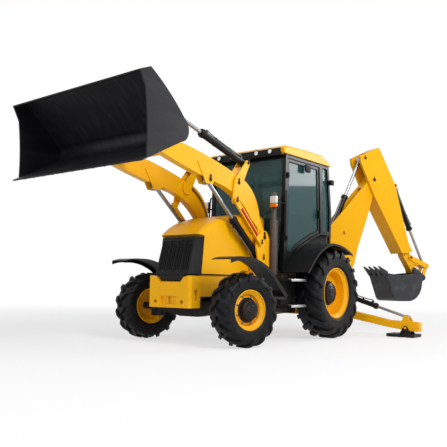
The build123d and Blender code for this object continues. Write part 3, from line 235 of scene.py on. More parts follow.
# name, colour, colour under the chips, roughness, gloss of the coat
yellow_paint = paint("yellow_enamel", colour(0.95, 0.46, 0.0), colour(0.30, 0.17, 0.05), 0.36, 0.08,
                     dust=0.12)
rim_paint = paint("rim_enamel", colour(0.93, 0.44, 0.0), colour(0.25, 0.16, 0.08), 0.38, 0.08, dust=0.25)
black_paint = paint("black_enamel", colour(0.005, 0.005, 0.0055), colour(0.04, 0.038, 0.036), 0.36, 0.10)
cab_paint = paint("cab_black", colour(0.005, 0.0055, 0.006), colour(0.03, 0.03, 0.03), 0.32, 0.10, dust=0.06)
axle_paint = paint("casting_grey", colour(0.010, 0.010, 0.011), colour(0.06, 0.05, 0.045), 0.5, 0.05,
                   peel=0.0008, dust=0.3)
red_paint = paint("red_enamel", colour(0.42, 0.004, 0.004), colour(0.2, 0.03, 0.02), 0.40, 0.05)
amber_plastic = paint("amber_lens", colour(0.85, 0.20, 0.008), colour(0.5, 0.1, 0.01), 0.16, 0.5, dust=0.0)
white_plastic = paint("clear_lens", colour(0.75, 0.76, 0.76), colour(0.5, 0.5, 0.5), 0.12, 0.6, dust=0.0)
print("paints made")

# %% [markdown]
# ## Buckets
# A bucket leaves the paint line dark grey, and earth polishes it in streaks along
# its plates and at its edges. The streaks are one noise, stretched along the
# plate, which is nearer to the truth than scratches drawn one by one. Their lighter
# colour is partly real polish and partly a painted sheen.


# %% Bucket plate
def bucket_plate(name, base, bright):
    """Dark primer that earth has polished in long streaks, whose lighter colour is partly a painted sheen.
    """
    finish = Finish(name)
    broken, edges = finish.soft_edges(0.004)
    streaks = finish.noise(3.0, 4.0, 0.55, finish.stretched((0.35, 6.0, 2.2)))
    blotch = finish.noise(2.2, 3.0)
    # Lighter streaks and edges: scratches and rubbed edges, and in the streaks partly a painted sheen.
    wear_and_sheen = (streaks.between(0.5, 0.78) * 0.55 + edges * 0.5).clipped()
    finish.set(Base_Color=finish.mix(wear_and_sheen, base, bright),
               Roughness=(0.47 - wear_and_sheen * 0.12 + (blotch - 0.5) * 0.14).clipped(),
               Metallic=wear_and_sheen * 0.35, Specular_IOR_Level=0.25,
               Normal=finish.bump(finish.noise(70.0, 3.0), 0.0004, broken))
    return finish.material


# The second colour is that of the lighter streaks, which is partly a painted sheen.
bucket_paint = bucket_plate("bucket_primer", colour(0.006, 0.0062, 0.0075), colour(0.040, 0.042, 0.050))
digging_paint = bucket_plate("digging_primer", colour(0.030, 0.031, 0.035), colour(0.10, 0.105, 0.115))
print("bucket finishes made")

# %% [markdown]
# ## Rubber, plastic and chrome
# Rubber and moulded plastic are matt because their surface is grained, so
# roughness and bump carry them, not colour. Hard chrome on a rod is the
# brightest metal on the machine, and bolts are dull zinc.


# %% Rubber and plastic
def grained(name, base, roughness, grain, depth, lift=1.5):
    """Moulded plastic or rubber with an even grain, paler in clouds and at its edges."""
    finish = Finish(name)
    broken, edges = finish.soft_edges(0.003)
    specks = finish.cells(grain)
    cloud = finish.noise(4.0, 3.0)
    dusty = finish.axis("Z").between(0.9, 0.1) * finish.noise(9.0, 4.0).between(0.4, 0.7)
    body = finish.mix((cloud * 0.5 + edges * 0.5).clipped(), base, shaded(base, lift))
    body = finish.mix(dusty * 0.05, body, colour(0.14, 0.12, 0.10))
    finish.set(Base_Color=body, Roughness=(roughness + (cloud - 0.5) * 0.12).clipped(),
               Specular_IOR_Level=0.14, Normal=finish.bump(specks, depth, broken))
    return finish.material


# name, colour, roughness, grains to the metre, their depth
fender_plastic = grained("fender_plastic", colour(0.007, 0.007, 0.0075), 0.42, 240.0, 0.0003)
cab_plastic = grained("cab_plastic", colour(0.011, 0.011, 0.012), 0.55, 320.0, 0.0003)
floor_mat = grained("floor_mat", colour(0.018, 0.018, 0.018), 0.75, 90.0, 0.0012)
tyre_rubber = grained("tyre_rubber", colour(0.0050, 0.0053, 0.0062), 0.50, 150.0, 0.0004, 1.8)
hose_rubber = grained("hose_rubber", colour(0.012, 0.012, 0.012), 0.45, 400.0, 0.0002)
seal_rubber = grained("seal_rubber", colour(0.010, 0.010, 0.010), 0.6, 500.0, 0.0001)
print("rubber and plastics made")


# %% Bare and plated metal
def metal(name, base, roughness, brush):
    """Bare or plated metal with fine turning marks, stretched by brush."""
    finish = Finish(name)
    marks = finish.noise(60.0, 2.0, 0.5, finish.stretched(brush))
    smear = finish.noise(6.0, 3.0)
    finish.set(Base_Color=finish.mix(smear, base, shaded(base, 0.82)), Metallic=1.0,
               Roughness=(roughness + marks * 0.10 + smear * 0.06).clipped(),
               Normal=finish.bump(marks, 0.0001))
    return finish.material


rod_chrome = metal("rod_chrome", colour(0.40, 0.41, 0.43), 0.16, (1.0, 1.0, 1.0))
tread_alloy = metal("tread_alloy", colour(0.62, 0.63, 0.64), 0.30, (1.0, 6.0, 1.0))
zinc = metal("zinc_plate", colour(0.26, 0.26, 0.25), 0.36, (3.0, 3.0, 3.0))
print("metals made")

# %% [markdown]
# ## Glass and lenses
# Cab glass is tinted a little green and mirrors more at a glancing angle, which
# the surface does by itself. It stays see-through by Alpha, so the seat behind it
# shows, and a smear of dust changes it from place to place. A lamp's lens is
# pressed with fine ribs, which a sine wave across it copies.


# %% Glass and lenses
def tinted_glass(name, tint, alpha):
    """Tinted safety glass with a faint smear."""
    finish = Finish(name)
    smear = finish.noise(2.5, 4.0)
    finish.set(Base_Color=finish.mix(smear, tint, shaded(tint, 0.7)), Roughness=0.03 + smear * 0.05,
               Alpha=(alpha + (smear - 0.5) * 0.08).clipped(),
               Coat_Weight=0.05, Coat_Roughness=0.05, Specular_IOR_Level=0.25)
    return finish.material


def lens(name):
    """A pressed lens: fine ribs over a bright reflector."""
    finish = Finish(name)
    ribs = (finish.axis("Y") * 900.0).wave() * 0.5 + 0.5
    shade = finish.mix(ribs * 0.5, colour(0.80, 0.81, 0.80), colour(0.38, 0.40, 0.41))
    finish.set(Base_Color=shade, Roughness=0.10 + ribs * 0.08, Metallic=0.4, Coat_Weight=0.8,
               Emission_Color=shade, Emission_Strength=0.12, Normal=finish.bump(ribs, 0.0004))
    return finish.material


cab_glass_look = tinted_glass("cab_glass_tint", colour(0.030, 0.095, 0.095), 0.70)
lamp_lens = lens("lamp_lens")
print("glass and lens made")

# %% [markdown]
# ## Seat cloth and heated steel
# The seat is a woven cloth: two sets of threads that cross are two waves
# multiplied. The exhaust is dark brown, darkest low down where it runs hottest,
# with soot in spots.


# %% Seat cloth and exhaust
def woven(name, base, thread):
    """Seat cloth: two sets of threads crossing."""
    finish = Finish(name)
    across = (finish.axis("Y") * thread).wave()
    along = ((finish.axis("X") + finish.axis("Z")) * thread).wave()
    weave = (across * along) * 0.5 + 0.5
    cloud = finish.noise(12.0, 3.0)
    body = finish.mix(weave * 0.6 + cloud * 0.3, base, shaded(base, 2.2))
    finish.set(Base_Color=body, Roughness=0.82 + weave * 0.1, Normal=finish.bump(weave, 0.0006))
    return finish.material


def heated_steel(name):
    """Exhaust pipe that heat has browned, darker low down, with soot."""
    finish = Finish(name)
    heat = finish.axis("Z").between(2.1, 1.0)
    tone = finish.mix(heat, colour(0.10, 0.085, 0.075), colour(0.060, 0.038, 0.026))
    spots = finish.noise(24.0, 5.0, 0.6)
    tone = finish.mix(spots.between(0.5, 0.7) * 0.5, tone, colour(0.030, 0.022, 0.018))
    finish.set(Base_Color=tone, Metallic=0.12, Roughness=0.44 + spots * 0.2,
               Normal=finish.bump(spots, 0.0005))
    return finish.material


seat_cloth = woven("seat_cloth", colour(0.022, 0.023, 0.026), 1500.0)
exhaust_steel = heated_steel("heated_steel")
print("cloth and exhaust made")

# %% [markdown]
# ## Which finish each solid wears
# The record sorts the solids into slots. Most take their slot's finish, and a
# short table names the few that differ, such as the cab's deeper black and the
# grey axle castings.

# %% Finishes for the solids
BY_SLOT = {
    "yellow_paint": yellow_paint, "black_paint": black_paint, "bucket_paint": bucket_paint,
    "black_plastic": fender_plastic, "seat_fabric": seat_cloth, "chrome": rod_chrome,
    "glass": cab_glass_look, "lamp": lamp_lens, "exhaust_steel": exhaust_steel, "tyre": tyre_rubber,
}
BY_NODE = {
    "cab_frame": cab_paint, "door_left": cab_paint, "door_right": cab_paint, "cab_floor": floor_mat,
    "cab_controls": cab_plastic, "radiator_grille": cab_plastic, "side_tanks": black_paint,
    "powertrain": axle_paint, "rear_axle": axle_paint, "front_axle": axle_paint,
    "knuckle_left": axle_paint, "knuckle_right": axle_paint, "backhoe_bucket": digging_paint,
}
CORNERS = ("front_left", "front_right", "rear_left", "rear_right")    # where the wheels are
for name in CORNERS:
    BY_NODE["rim_" + name] = rim_paint
slot_of = {part["node"]: part["material_slot"] for part in frame["record"]["subparts"]}
for name, node in frame["nodes"].items():
    node.data.materials.clear()
    node.data.materials.append(BY_NODE.get(name) or BY_SLOT[slot_of[name]])
print("solids dressed", len(slot_of))

# %% [markdown]
# ## The camera
# The camera stands close to the ground, ahead and to the machine's left, with a
# slightly long lens, so the raised bucket comes towards the viewer.


# %% Camera
def in_scene(thing):
    """Puts an object into the scene."""
    bpy.context.scene.collection.objects.link(thing)
    return thing


EYE = Vector((8.39, 5.84, 0.81))
YAW, PITCH, ROLL = radians(-141.1), radians(5.57), radians(0.85)
camera_data = bpy.data.cameras.new("camera")
camera_data.lens = 50.2
camera_data.sensor_width = 36.0
camera_data.clip_end = 200.0
camera = in_scene(bpy.data.objects.new("camera", camera_data))
heading = Vector((cos(PITCH) * cos(YAW), cos(PITCH) * sin(YAW), sin(PITCH)))
camera.matrix_world = (Matrix.Translation(EYE) @ heading.to_track_quat("-Z", "Y").to_matrix().to_4x4()
                       @ Matrix.Rotation(ROLL, 4, "Z"))
bpy.context.scene.camera = camera
print("camera at", tuple(round(v, 2) for v in EYE))

# %% [markdown]
# ## Floor and world
# The world is soft and even. What the camera, a glossy surface or glass sees of
# it is pure white, but it lights the machine much less, so the paint isn't washed
# out. The floor is pale and turns white away from the machine, so that it keeps a
# shadow and has no horizon.

# %% Floor
NEAR_WHITE = 0.62                   # how white the floor shows under the machine
WHITE_FROM, WHITE_AT = 5.0, 14.0    # metres from the middle over which it turns white
SEEN_RAYS = ("Is Camera Ray", "Is Glossy Ray", "Is Transmission Ray")


def seen(nodes):
    """1 where the eye looks straight, by a reflection or through glass, and 0 for light on its way."""
    return sum(nodes.node("ShaderNodeLightPath", {}, {}, ray) for ray in SEEN_RAYS).clipped()


floor_mesh = bmesh.new()
bmesh.ops.create_grid(floor_mesh, x_segments=1, y_segments=1, size=60.0)
floor_data = bpy.data.meshes.new("floor")
floor_mesh.to_mesh(floor_data)
floor_mesh.free()
in_scene(bpy.data.objects.new("floor", floor_data))

pale = Finish("pale_floor")
tone = pale.mix(pale.noise(0.6, 3.0), colour(0.92, 0.92, 0.92), colour(0.88, 0.88, 0.89))
pale.set(Base_Color=tone, Roughness=0.9)
far = pale.node("ShaderNodeVectorMath", {"operation": "LENGTH"}, {0: pale.place}, "Value")
whiteness = far.between(WHITE_FROM, WHITE_AT) * (1.0 - NEAR_WHITE) + NEAR_WHITE
paper = pale.node("ShaderNodeEmission", {}, {"Color": colour(1.0, 1.0, 1.0)})
ground = pale.node("ShaderNodeMixShader", {}, {
    0: seen(pale) * whiteness, 1: Wire(pale, pale.surface.outputs[0]), 2: paper})
pale.join(pale.tree.nodes["Material Output"].inputs["Surface"], ground)
floor_data.materials.append(pale.material)
print("floor laid")

# %% World
world = bpy.data.worlds.new("soft_studio")
world.use_nodes = True
bpy.context.scene.world = world
air = Nodes(world.node_tree)
sky = air.tree.nodes["Background"]
air.join(sky.inputs["Color"], colour(0.93, 0.96, 1.0))
air.join(sky.inputs["Strength"], 0.34)
white = air.node("ShaderNodeBackground", {}, {"Color": colour(1.0, 1.0, 1.0), "Strength": 1.0})
around = air.node("ShaderNodeMixShader", {}, {0: seen(air), 1: Wire(air, sky.outputs[0]), 2: white})
air.join(air.tree.nodes["World Output"].inputs["Surface"], around)
bpy.context.scene.view_settings.view_transform = "Standard"
print("world set")

# %% [markdown]
# ## Lamps
# Three large square lamps stand round the machine as a studio's soft boxes would.
# The key lights its left side, the front one fills the nose and the bucket, and
# the rim lamp parts the digging arm from the white behind it.


# %% Studio lamps
def soft_box(name, place, target, size, watts):
    """A large square lamp turned towards a point on the machine."""
    data = bpy.data.lights.new(name, "AREA")
    data.shape = "SQUARE"
    data.size = size
    data.energy = watts
    lamp = in_scene(bpy.data.objects.new(name, data))
    aim = (Vector(target) - Vector(place)).to_track_quat("-Z", "Y")
    lamp.matrix_world = Matrix.Translation(place) @ aim.to_matrix().to_4x4()


soft_box("key", (4.0, 9.5, 7.5), (0.0, 0.0, 1.2), 5.0, 860.0)
soft_box("front", (11.0, 1.0, 4.5), (0.5, 0.0, 1.2), 5.0, 230.0)
soft_box("rim", (-9.0, 6.0, 6.0), (-1.0, 0.0, 1.5), 4.0, 380.0)
print("lamps set")

# %% [markdown]
# ## From a mesh to a piece
# Every added piece starts as a simple bmesh shape, is bevelled or spun into its
# form and is placed in the mesh itself, so its object stays at the origin. It
# then rides on the body that carries it on the real machine.

# %% A finished piece
SAME_POINT = 0.00002    # points nearer than this become one


def on_body(piece, body):
    """Puts a piece into the scene and on its body."""
    in_scene(piece)
    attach(piece, body)
    return piece


def finished(name, mesh, body, material, sharp=32.0):
    """Closes a bmesh into an object that rides on a body of the machine."""
    bmesh.ops.remove_doubles(mesh, verts=mesh.verts, dist=SAME_POINT)
    bmesh.ops.recalc_face_normals(mesh, faces=mesh.faces)
    data = bpy.data.meshes.new(name)
    mesh.to_mesh(data)
    mesh.free()
    data.shade_smooth()
    data.set_sharp_from_angle(angle=radians(sharp))
    data.materials.append(material)
    return on_body(bpy.data.objects.new(name, data), body)


print("pieces can be finished")

# %% [markdown]
# ## Plates, bars and bolts
# Most of what is added is cut plate, round bar and bolts. A cube or a cone whose
# edges are bevelled catches the light as a broken edge does, which a bare one
# never would.


# %% Plates, bars and bolts
def turned_to(direction, roll=0.0):
    """The turn that points a shape's own Z along a direction."""
    return Vector(direction).to_track_quat("Z", "Y").to_matrix().to_4x4() @ Matrix.Rotation(roll, 4, "Z")


def block(mesh, place, size, radius, turn=None, segments=2):
    """A box with its edges broken."""
    matrix = Matrix.Translation(place) @ (turn or Matrix()) @ Matrix.Diagonal((*size, 1.0))
    verts = bmesh.ops.create_cube(mesh, size=1.0, matrix=matrix)["verts"]
    edges = list({edge for vert in verts for edge in vert.link_edges})
    bmesh.ops.bevel(mesh, geom=edges, offset=radius, offset_type="OFFSET", segments=segments,
                    profile=0.5, affect="EDGES", material=-1)


def moulding(name, place, size, radius, body, material, segments=3):
    """A piece that is one block with well rounded edges."""
    mesh = bmesh.new()
    block(mesh, place, size, radius, segments=segments)
    finished(name, mesh, body, material)


def round_bar(mesh, start, end, radius, chamfer=0.003, sides=24):
    """A turned bar from one point to another, with its rims chamfered."""
    start, end = Vector(start), Vector(end)
    matrix = Matrix.Translation((start + end) / 2) @ turned_to(end - start)
    verts = bmesh.ops.create_cone(mesh, cap_ends=True, segments=sides, radius1=radius, radius2=radius,
                                  depth=(end - start).length, matrix=matrix)["verts"]
    rims = [edge for edge in {edge for vert in verts for edge in vert.link_edges}
            if any(len(face.verts) > 4 for face in edge.link_faces)]
    bmesh.ops.bevel(mesh, geom=rims, offset=chamfer, offset_type="OFFSET", segments=2, profile=0.5,
                    affect="EDGES", material=-1)


def bolt(mesh, place, direction, size):
    """A washer and a hexagon head standing out of a face. Its size is the head's radius, or nearly."""
    place, direction = Vector(place), Vector(direction).normalized()
    face = place + direction * size * 0.25
    round_bar(mesh, place - direction * 0.001, face, size * 1.25, size * 0.06, 20)
    round_bar(mesh, face, place + direction * size * 0.95, size * 0.95, size * 0.12, 6)


def bolt_circle(mesh, centre, axis, radius, height, count, size, start=0.0):
    """Bolts set out on a circle, at a height along its axis, from a start given in steps."""
    plane = turned_to(axis)
    for number in range(count):
        angle = 2 * pi * (number + start) / count
        bolt(mesh, centre + (plane @ Vector((cos(angle) * radius, sin(angle) * radius, height))), axis, size)


print("plates, bars and bolts ready")

# %% [markdown]
# ## Turned shapes
# A hub cover, a gland or a bezel comes off a lathe, so it is drawn as half a
# section and spun once round its axis. The new points are the ones that weren't
# there before, and only they are moved to where the part sits.


# %% Lathe work
def turned(mesh, profile, place, direction, steps=48):
    """Spins a profile of (radius, height) points about a direction through a place."""
    before = set(mesh.verts)
    verts = [mesh.verts.new((radius, 0.0, height)) for radius, height in profile]
    edges = [mesh.edges.new(pair) for pair in zip(verts, verts[1:])]
    bmesh.ops.spin(mesh, geom=verts + edges, cent=(0, 0, 0), axis=(0, 0, 1), angle=2 * pi,
                   steps=steps, use_merge=True)
    new = [vert for vert in mesh.verts if vert not in before]
    bmesh.ops.transform(mesh, matrix=Matrix.Translation(place) @ turned_to(direction), verts=new)


def band(mesh, inner, outer, half, place, direction):
    """A clamp's band round a tube, with its outer corners broken by a millimetre."""
    turned(mesh, [(inner, -half), (outer, 0.001 - half), (outer, half - 0.001), (inner, half)],
           place, direction, 40)


print("lathe ready")

# %% [markdown]
# ## Pipes and seals
# Steel pipe, hose and the rubber cord round a window are all a round section
# swept along a line. The line is one smooth spline with a few points, because
# points set out along each bend by hand look like bent wire.


# %% Swept tubes
def tube(name, points, radius, body, material, rings, steps, closed):
    """A round tube along a smooth line, closed in a loop or with capped ends."""
    line = bpy.data.curves.new(name, "CURVE")
    line.dimensions = "3D"
    line.bevel_depth = radius
    line.bevel_resolution = rings
    line.resolution_u = steps
    line.use_fill_caps = not closed
    run = line.splines.new("NURBS")
    run.points.add(len(points) - 1)
    for spot, point in zip(run.points, points):
        spot.co = (*point, 1.0)
    run.order_u = 3
    run.use_endpoint_u = not closed
    run.use_cyclic_u = closed
    line.materials.append(material)
    on_body(bpy.data.objects.new(name, line), body)


def pipe(name, points, radius, body, material):
    """A bent steel pipe or a short hose, clamped at both ends."""
    tube(name, points, radius, body, material, 4, 8, False)


def seal(name, corners, radius, body):
    """A closed rubber cord round a window, turning its corners in a short bend."""
    spots = []
    for here, after in zip(corners, corners[1:] + corners[:1]):
        reach = (after - here).length
        step = (after - here).normalized() * min(0.05, reach * 0.3)
        spots += [here, here + step, after - step]
    tube(name, spots, radius, body, seal_rubber, 2, 6, True)


print("tubes ready")

# %% [markdown]
# ## Places on the machine
# A machine is drawn from its rear axle in millimetres, and its digging arm from
# the pin that it swings on. Two short functions turn such numbers into places,
# so that a piece is given where a drawing would give it.

# %% Places
UP = (0.0, 0.0, 1.0)
SIDES = (("left", 1), ("right", -1))                # a side's name and the sign of its Y
REAR_AXLE = -0.35                                   # its X in the machine's frame
SWING_PIN = Vector((-1.71, 0.0, 0.0))
SWING = radians(25.0)                               # the digging arm's swing at rest
OUT = Vector((-cos(SWING), sin(SWING), 0.0))        # outward along the digging arm
ARM_LEFT = Vector((sin(SWING), cos(SWING), 0.0))    # the arm's own left


def side_point(x, y, z):
    """A point in millimetres: forward from the rear axle, left of the middle, above the ground."""
    return Vector((REAR_AXLE + x / 1000, y / 1000, z / 1000))


def arm_point(reach, height, left=0.0):
    """A point in millimetres: out from the swing pin, above the ground, left of the arm's middle."""
    foot = SWING_PIN + Vector((0.0, 0.0, height / 1000))
    return foot + OUT * (reach / 1000) + ARM_LEFT * (left / 1000)


def wheel_middle(name):
    low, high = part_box("tyre_" + name)
    return (low + high) / 2


STEERED = radians(-12.0)    # the front wheels' turn to the right at rest


def wheel_axis(name):
    """A wheel's axle, pointing out of the machine."""
    hand = 1 if name.endswith("left") else -1
    if name.startswith("front"):
        return Vector((-sin(STEERED), cos(STEERED), 0.0)) * hand
    return Vector((0.0, hand, 0.0))


print("wheels at", [tuple(round(v, 2) for v in wheel_middle(name)) for name in CORNERS])

# %% [markdown]
# ## Tyres
# A traction tyre is a turned carcass with two rows of rubber bars that lean
# forward and run down onto the shoulder. The carcass is spun from one section.
# One bar is a long block, cut across in steps so that it can bend. It is laid
# over the crown by moving its points, then mirrored and copied round, which
# keeps all bars alike.

# %% One bar, copied round
BAR_STEPS = 13      # lengths that a bar is cut into
BAR_ROOT = 0.020    # how deep it stands in the carcass


def points_of(geometry):
    return [item for item in geometry if isinstance(item, bmesh.types.BMVert)]


def tyre_blocks(mesh, tread, half, height, wide, sweep, count):
    """Two rows of bars on a tread of a radius and half width, each swept by an angle along its run."""
    flat, corner, turn = half * 0.60, half * 0.36, radians(75.0)
    crown, bend, leg = flat * 0.96, corner * turn, half * 0.26
    length = crown + bend + leg
    block(mesh, (length / 2, 0.0, (height - BAR_ROOT) / 2), (length, wide, height + BAR_ROOT), 0.006)
    for step in range(1, BAR_STEPS):
        geometry = list(mesh.verts) + list(mesh.edges) + list(mesh.faces)
        bmesh.ops.bisect_plane(mesh, geom=geometry, plane_co=(length * step / BAR_STEPS, 0, 0),
                               plane_no=(1, 0, 0))
    for vert in mesh.verts:
        run, across, up = vert.co
        lean = min(max((run - crown) / corner, 0.0), turn)
        below = max(run - crown - bend, 0.0)
        up *= 1.0 if up < 0 else 1.0 - 0.55 * max(run - crown, 0.0) / (bend + leg)
        side = flat * 0.04 + min(run, crown) + corner * sin(lean) + up * sin(lean) + below * cos(turn)
        level = tread - corner * (1 - cos(lean)) + up * cos(lean) - below * sin(turn)
        angle = sweep * run / length + across * (1.0 - 0.10 * run / length) / tread
        vert.co = (level * cos(angle), level * sin(angle), side)
    bar = list(mesh.verts) + list(mesh.edges) + list(mesh.faces)
    twin = bmesh.ops.duplicate(mesh, geom=bar)["geom"]
    bmesh.ops.scale(mesh, vec=(1, 1, -1), verts=points_of(twin))
    bmesh.ops.rotate(mesh, cent=(0, 0, 0), matrix=Matrix.Rotation(pi / count, 3, "Z"), verts=points_of(twin))
    pair = bar + twin
    for number in range(1, count):
        copy = bmesh.ops.duplicate(mesh, geom=pair)["geom"]
        round_by = Matrix.Rotation(2 * pi * number / count, 3, "Z")
        bmesh.ops.rotate(mesh, cent=(0, 0, 0), matrix=round_by, verts=points_of(copy))


print("bars ready")

# %% One tyre
# Up the flank: shares of the way from bead to tread, and of half the width.
FLANK = ((0.10, 0.86), (0.16, 0.93), (0.22, 0.93), (0.42, 1.0), (0.62, 1.0), (0.80, 0.97), (0.92, 0.86))
TYRE_SIZES = {    # radius, width, bead's radius, bar's height and width, its sweep, bars in a row
    "front": (0.484, 0.320, 0.262, 0.034, 0.062, radians(21.0), 14),
    "rear": (0.700, 0.430, 0.392, 0.046, 0.078, radians(21.0), 17),
}


def tyre(name, radius, width, bead, height, wide, sweep, count):
    """A whole tyre in place of the plain one."""
    tread, half = radius - height, width / 2
    deep = tread - bead
    blocks = bmesh.new()
    tyre_blocks(blocks, tread, half, height, wide, sweep, count)
    bars = bpy.data.meshes.new("bars")
    blocks.to_mesh(bars)
    blocks.free()
    section = [(bead + 0.004, -half * 0.80)]
    section += [(bead + share * deep, -half * out) for share, out in FLANK]
    section += [(tread - 0.006, -half * 0.66), (tread, -half * 0.3), (tread, 0.0)]
    section += [(r, -h) for r, h in reversed(section[:-1])]
    carcass = bmesh.new()
    loop = [carcass.verts.new((r, 0.0, h)) for r, h in section]
    edges = [carcass.edges.new(pair) for pair in zip(loop, loop[1:] + loop[:1])]
    bmesh.ops.spin(carcass, geom=loop + edges, cent=(0, 0, 0), axis=(0, 0, 1), angle=2 * pi, steps=72,
                   use_merge=True)
    bmesh.ops.remove_doubles(carcass, verts=carcass.verts, dist=0.0001)
    carcass.from_mesh(bars)
    bpy.data.meshes.remove(bars)
    place = Matrix.Translation(wheel_middle(name)) @ turned_to(wheel_axis(name))
    bmesh.ops.transform(carcass, matrix=place, verts=carcass.verts)
    piece = finished("tread_" + name, carcass, "wheel_" + name, tyre_rubber, 38.0)
    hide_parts("tyre_" + name)
    return piece


for name in CORNERS:
    made = tyre(name, *TYRE_SIZES[name.split("_")[0]])
    print(made.name, "faces", len(made.data.polygons))

# %% [markdown]
# ## Hubs and wheel nuts
# The planetary hub is a black casting with a bolted end cap, and a ring of nuts
# clamps the yellow disc to it. Both are turned shapes, with hexagons set out on
# a circle.

# %% Hub covers and nuts
HUB_DEPTH = 0.085
HUBS = {    # the hub face's distance from the wheel's middle, the hub's radius, wheel nuts
    "front": (0.060, 0.132, 8),
    "rear": (0.010, 0.160, 10),
}
for name in CORNERS:
    face, hub, nut_count = HUBS[name.split("_")[0]]
    axis = wheel_axis(name)
    base = wheel_middle(name) + axis * face
    cover = bmesh.new()
    turned(cover, [(0.0, HUB_DEPTH + 0.008), (hub * 0.42, HUB_DEPTH + 0.008), (hub * 0.50, HUB_DEPTH),
                   (hub * 0.86, HUB_DEPTH - 0.004), (hub * 0.97, HUB_DEPTH - 0.016), (hub, HUB_DEPTH - 0.03),
                   (hub * 1.04, 0.016), (hub * 1.22, 0.012), (hub * 1.25, 0.0), (hub * 0.9, -0.004)],
           base, axis)
    bolt_circle(cover, base, axis, hub * 0.70, HUB_DEPTH - 0.006, 6, 0.010)
    finished("hub_cover_" + name, cover, "wheel_" + name, black_paint)
    nuts = bmesh.new()
    bolt_circle(nuts, base, axis, hub * 1.36, -0.003, nut_count, 0.014, start=0.5)
    finished("wheel_nuts_" + name, nuts, "wheel_" + name, zinc)
print("hubs fitted")

# %% [markdown]
# ## Ram ends and steel pipes
# Each ram's barrel ends in a threaded gland with spanner slots, and carries a
# port block at each end, joined by a bent steel pipe that is clamped along the
# tube. The pipe is a smooth curve. The gland is turned, and its slots are small
# blocks set round it.

# %% Fit out one ram
PORT = 0.085          # the first port's distance from the barrel's foot
GLAND_PORT = 0.105    # the second port's, back from its gland
STEEL_PIPE = 0.009    # a hydraulic pipe's radius


def ram_fittings(name, base, eye, barrel, radius, body, lift):
    """Gland, wiper ring, two ports and a pipe on a barrel, with lift pointing to the port side."""
    base, eye, lift = Vector(base), Vector(eye), Vector(lift)
    along = (eye - base).normalized()
    up = (lift - along * lift.dot(along)).normalized()
    end = base + along * barrel
    spin = turned_to(along)
    mesh = bmesh.new()
    turned(mesh, [(radius * 1.02, -0.062), (radius * 1.20, -0.058), (radius * 1.20, -0.020),
                  (radius * 1.12, -0.014), (radius * 1.12, -0.004), (radius * 0.98, 0.004),
                  (radius * 0.80, 0.006), (radius * 0.72, 0.001)], end, along, 40)
    for number in range(8):
        angle = 2 * pi * number / 8
        spot = end - along * 0.030 + (spin @ Vector((cos(angle), sin(angle), 0.0))) * radius * 1.20
        block(mesh, spot, (0.008, 0.008, 0.026), 0.0015, turned_to(along, angle), 1)
    for reach in (PORT, barrel - GLAND_PORT):
        spot = base + along * reach + up * radius * 1.08
        block(mesh, spot, (0.036, 0.036, 0.036), 0.004, spin)
        round_bar(mesh, spot + up * 0.012, spot + up * 0.034, 0.013, 0.002, 6)
    for share in (0.36, 0.68):
        spot = base + along * barrel * share
        band(mesh, radius * 1.005, radius * 1.05, 0.012, spot, along)
        block(mesh, spot + up * (radius + 0.010), (0.030, 0.030, 0.020), 0.003, spin)
    finished("gland_" + name, mesh, body, black_paint)
    low = base + along * PORT + up * (radius * 1.08 + 0.034)
    high = base + along * (barrel - GLAND_PORT) + up * (radius * 1.08 + 0.034)
    middle = base + along * barrel * 0.5 + up * (radius + 0.019)
    down = up * 0.014
    pipe("ram_pipe_" + name, [low - down, low, low + along * 0.030, low + along * 0.075 - down, middle,
                              high - along * 0.075 - down, high - along * 0.030, high, high - down],
         STEEL_PIPE, body, zinc)


print("ram fittings ready")

# %% Fit out all rams
ARM_MIDDLE = 485    # millimetres from the machine's middle to a loader arm's
for side, hand in SIDES:
    y = hand * ARM_MIDDLE
    ram_fittings("lift_" + side, side_point(1268, y, 1197), side_point(2482, y, 2198), 0.835, 0.050,
                 "lift_barrels", (0.6, 0.0, -0.8))
    ram_fittings("tilt_" + side, side_point(1666, y, 2545), side_point(3640, y, 3110), 0.985, 0.050,
                 "tilt_barrels", UP)
    ram_fittings("leg_" + side, (-1.45, hand * 0.400, 0.735), (-1.45, hand * 1.763, 0.322), 0.890, 0.042,
                 "stabiliser_barrel_" + side, UP)
ram_fittings("boom", arm_point(-40, 1062), arm_point(460, 1800), 0.730, 0.050, "boom_barrel",
             (0.9, -0.42, 0.3))
ram_fittings("dipper", arm_point(185, 1725), arm_point(927, 3265), 0.885, 0.054, "dipper_barrel",
             (1.0, 0.2, 0.4))
ram_fittings("digging", arm_point(1745, 2800), arm_point(2518, 1236), 0.950, 0.050, "bucket_barrel",
             (-1.0, 0.4, 0.4))
print("rams fitted out")

# %% [markdown]
# ## Pins and their keeper plates
# A pin is stopped from turning by a flag plate on its head, held by one bolt,
# and has a grease nipple in its end. A drawing's pin list gives where every pin
# is and how far out its head stands, so the plates are made in a loop over it.

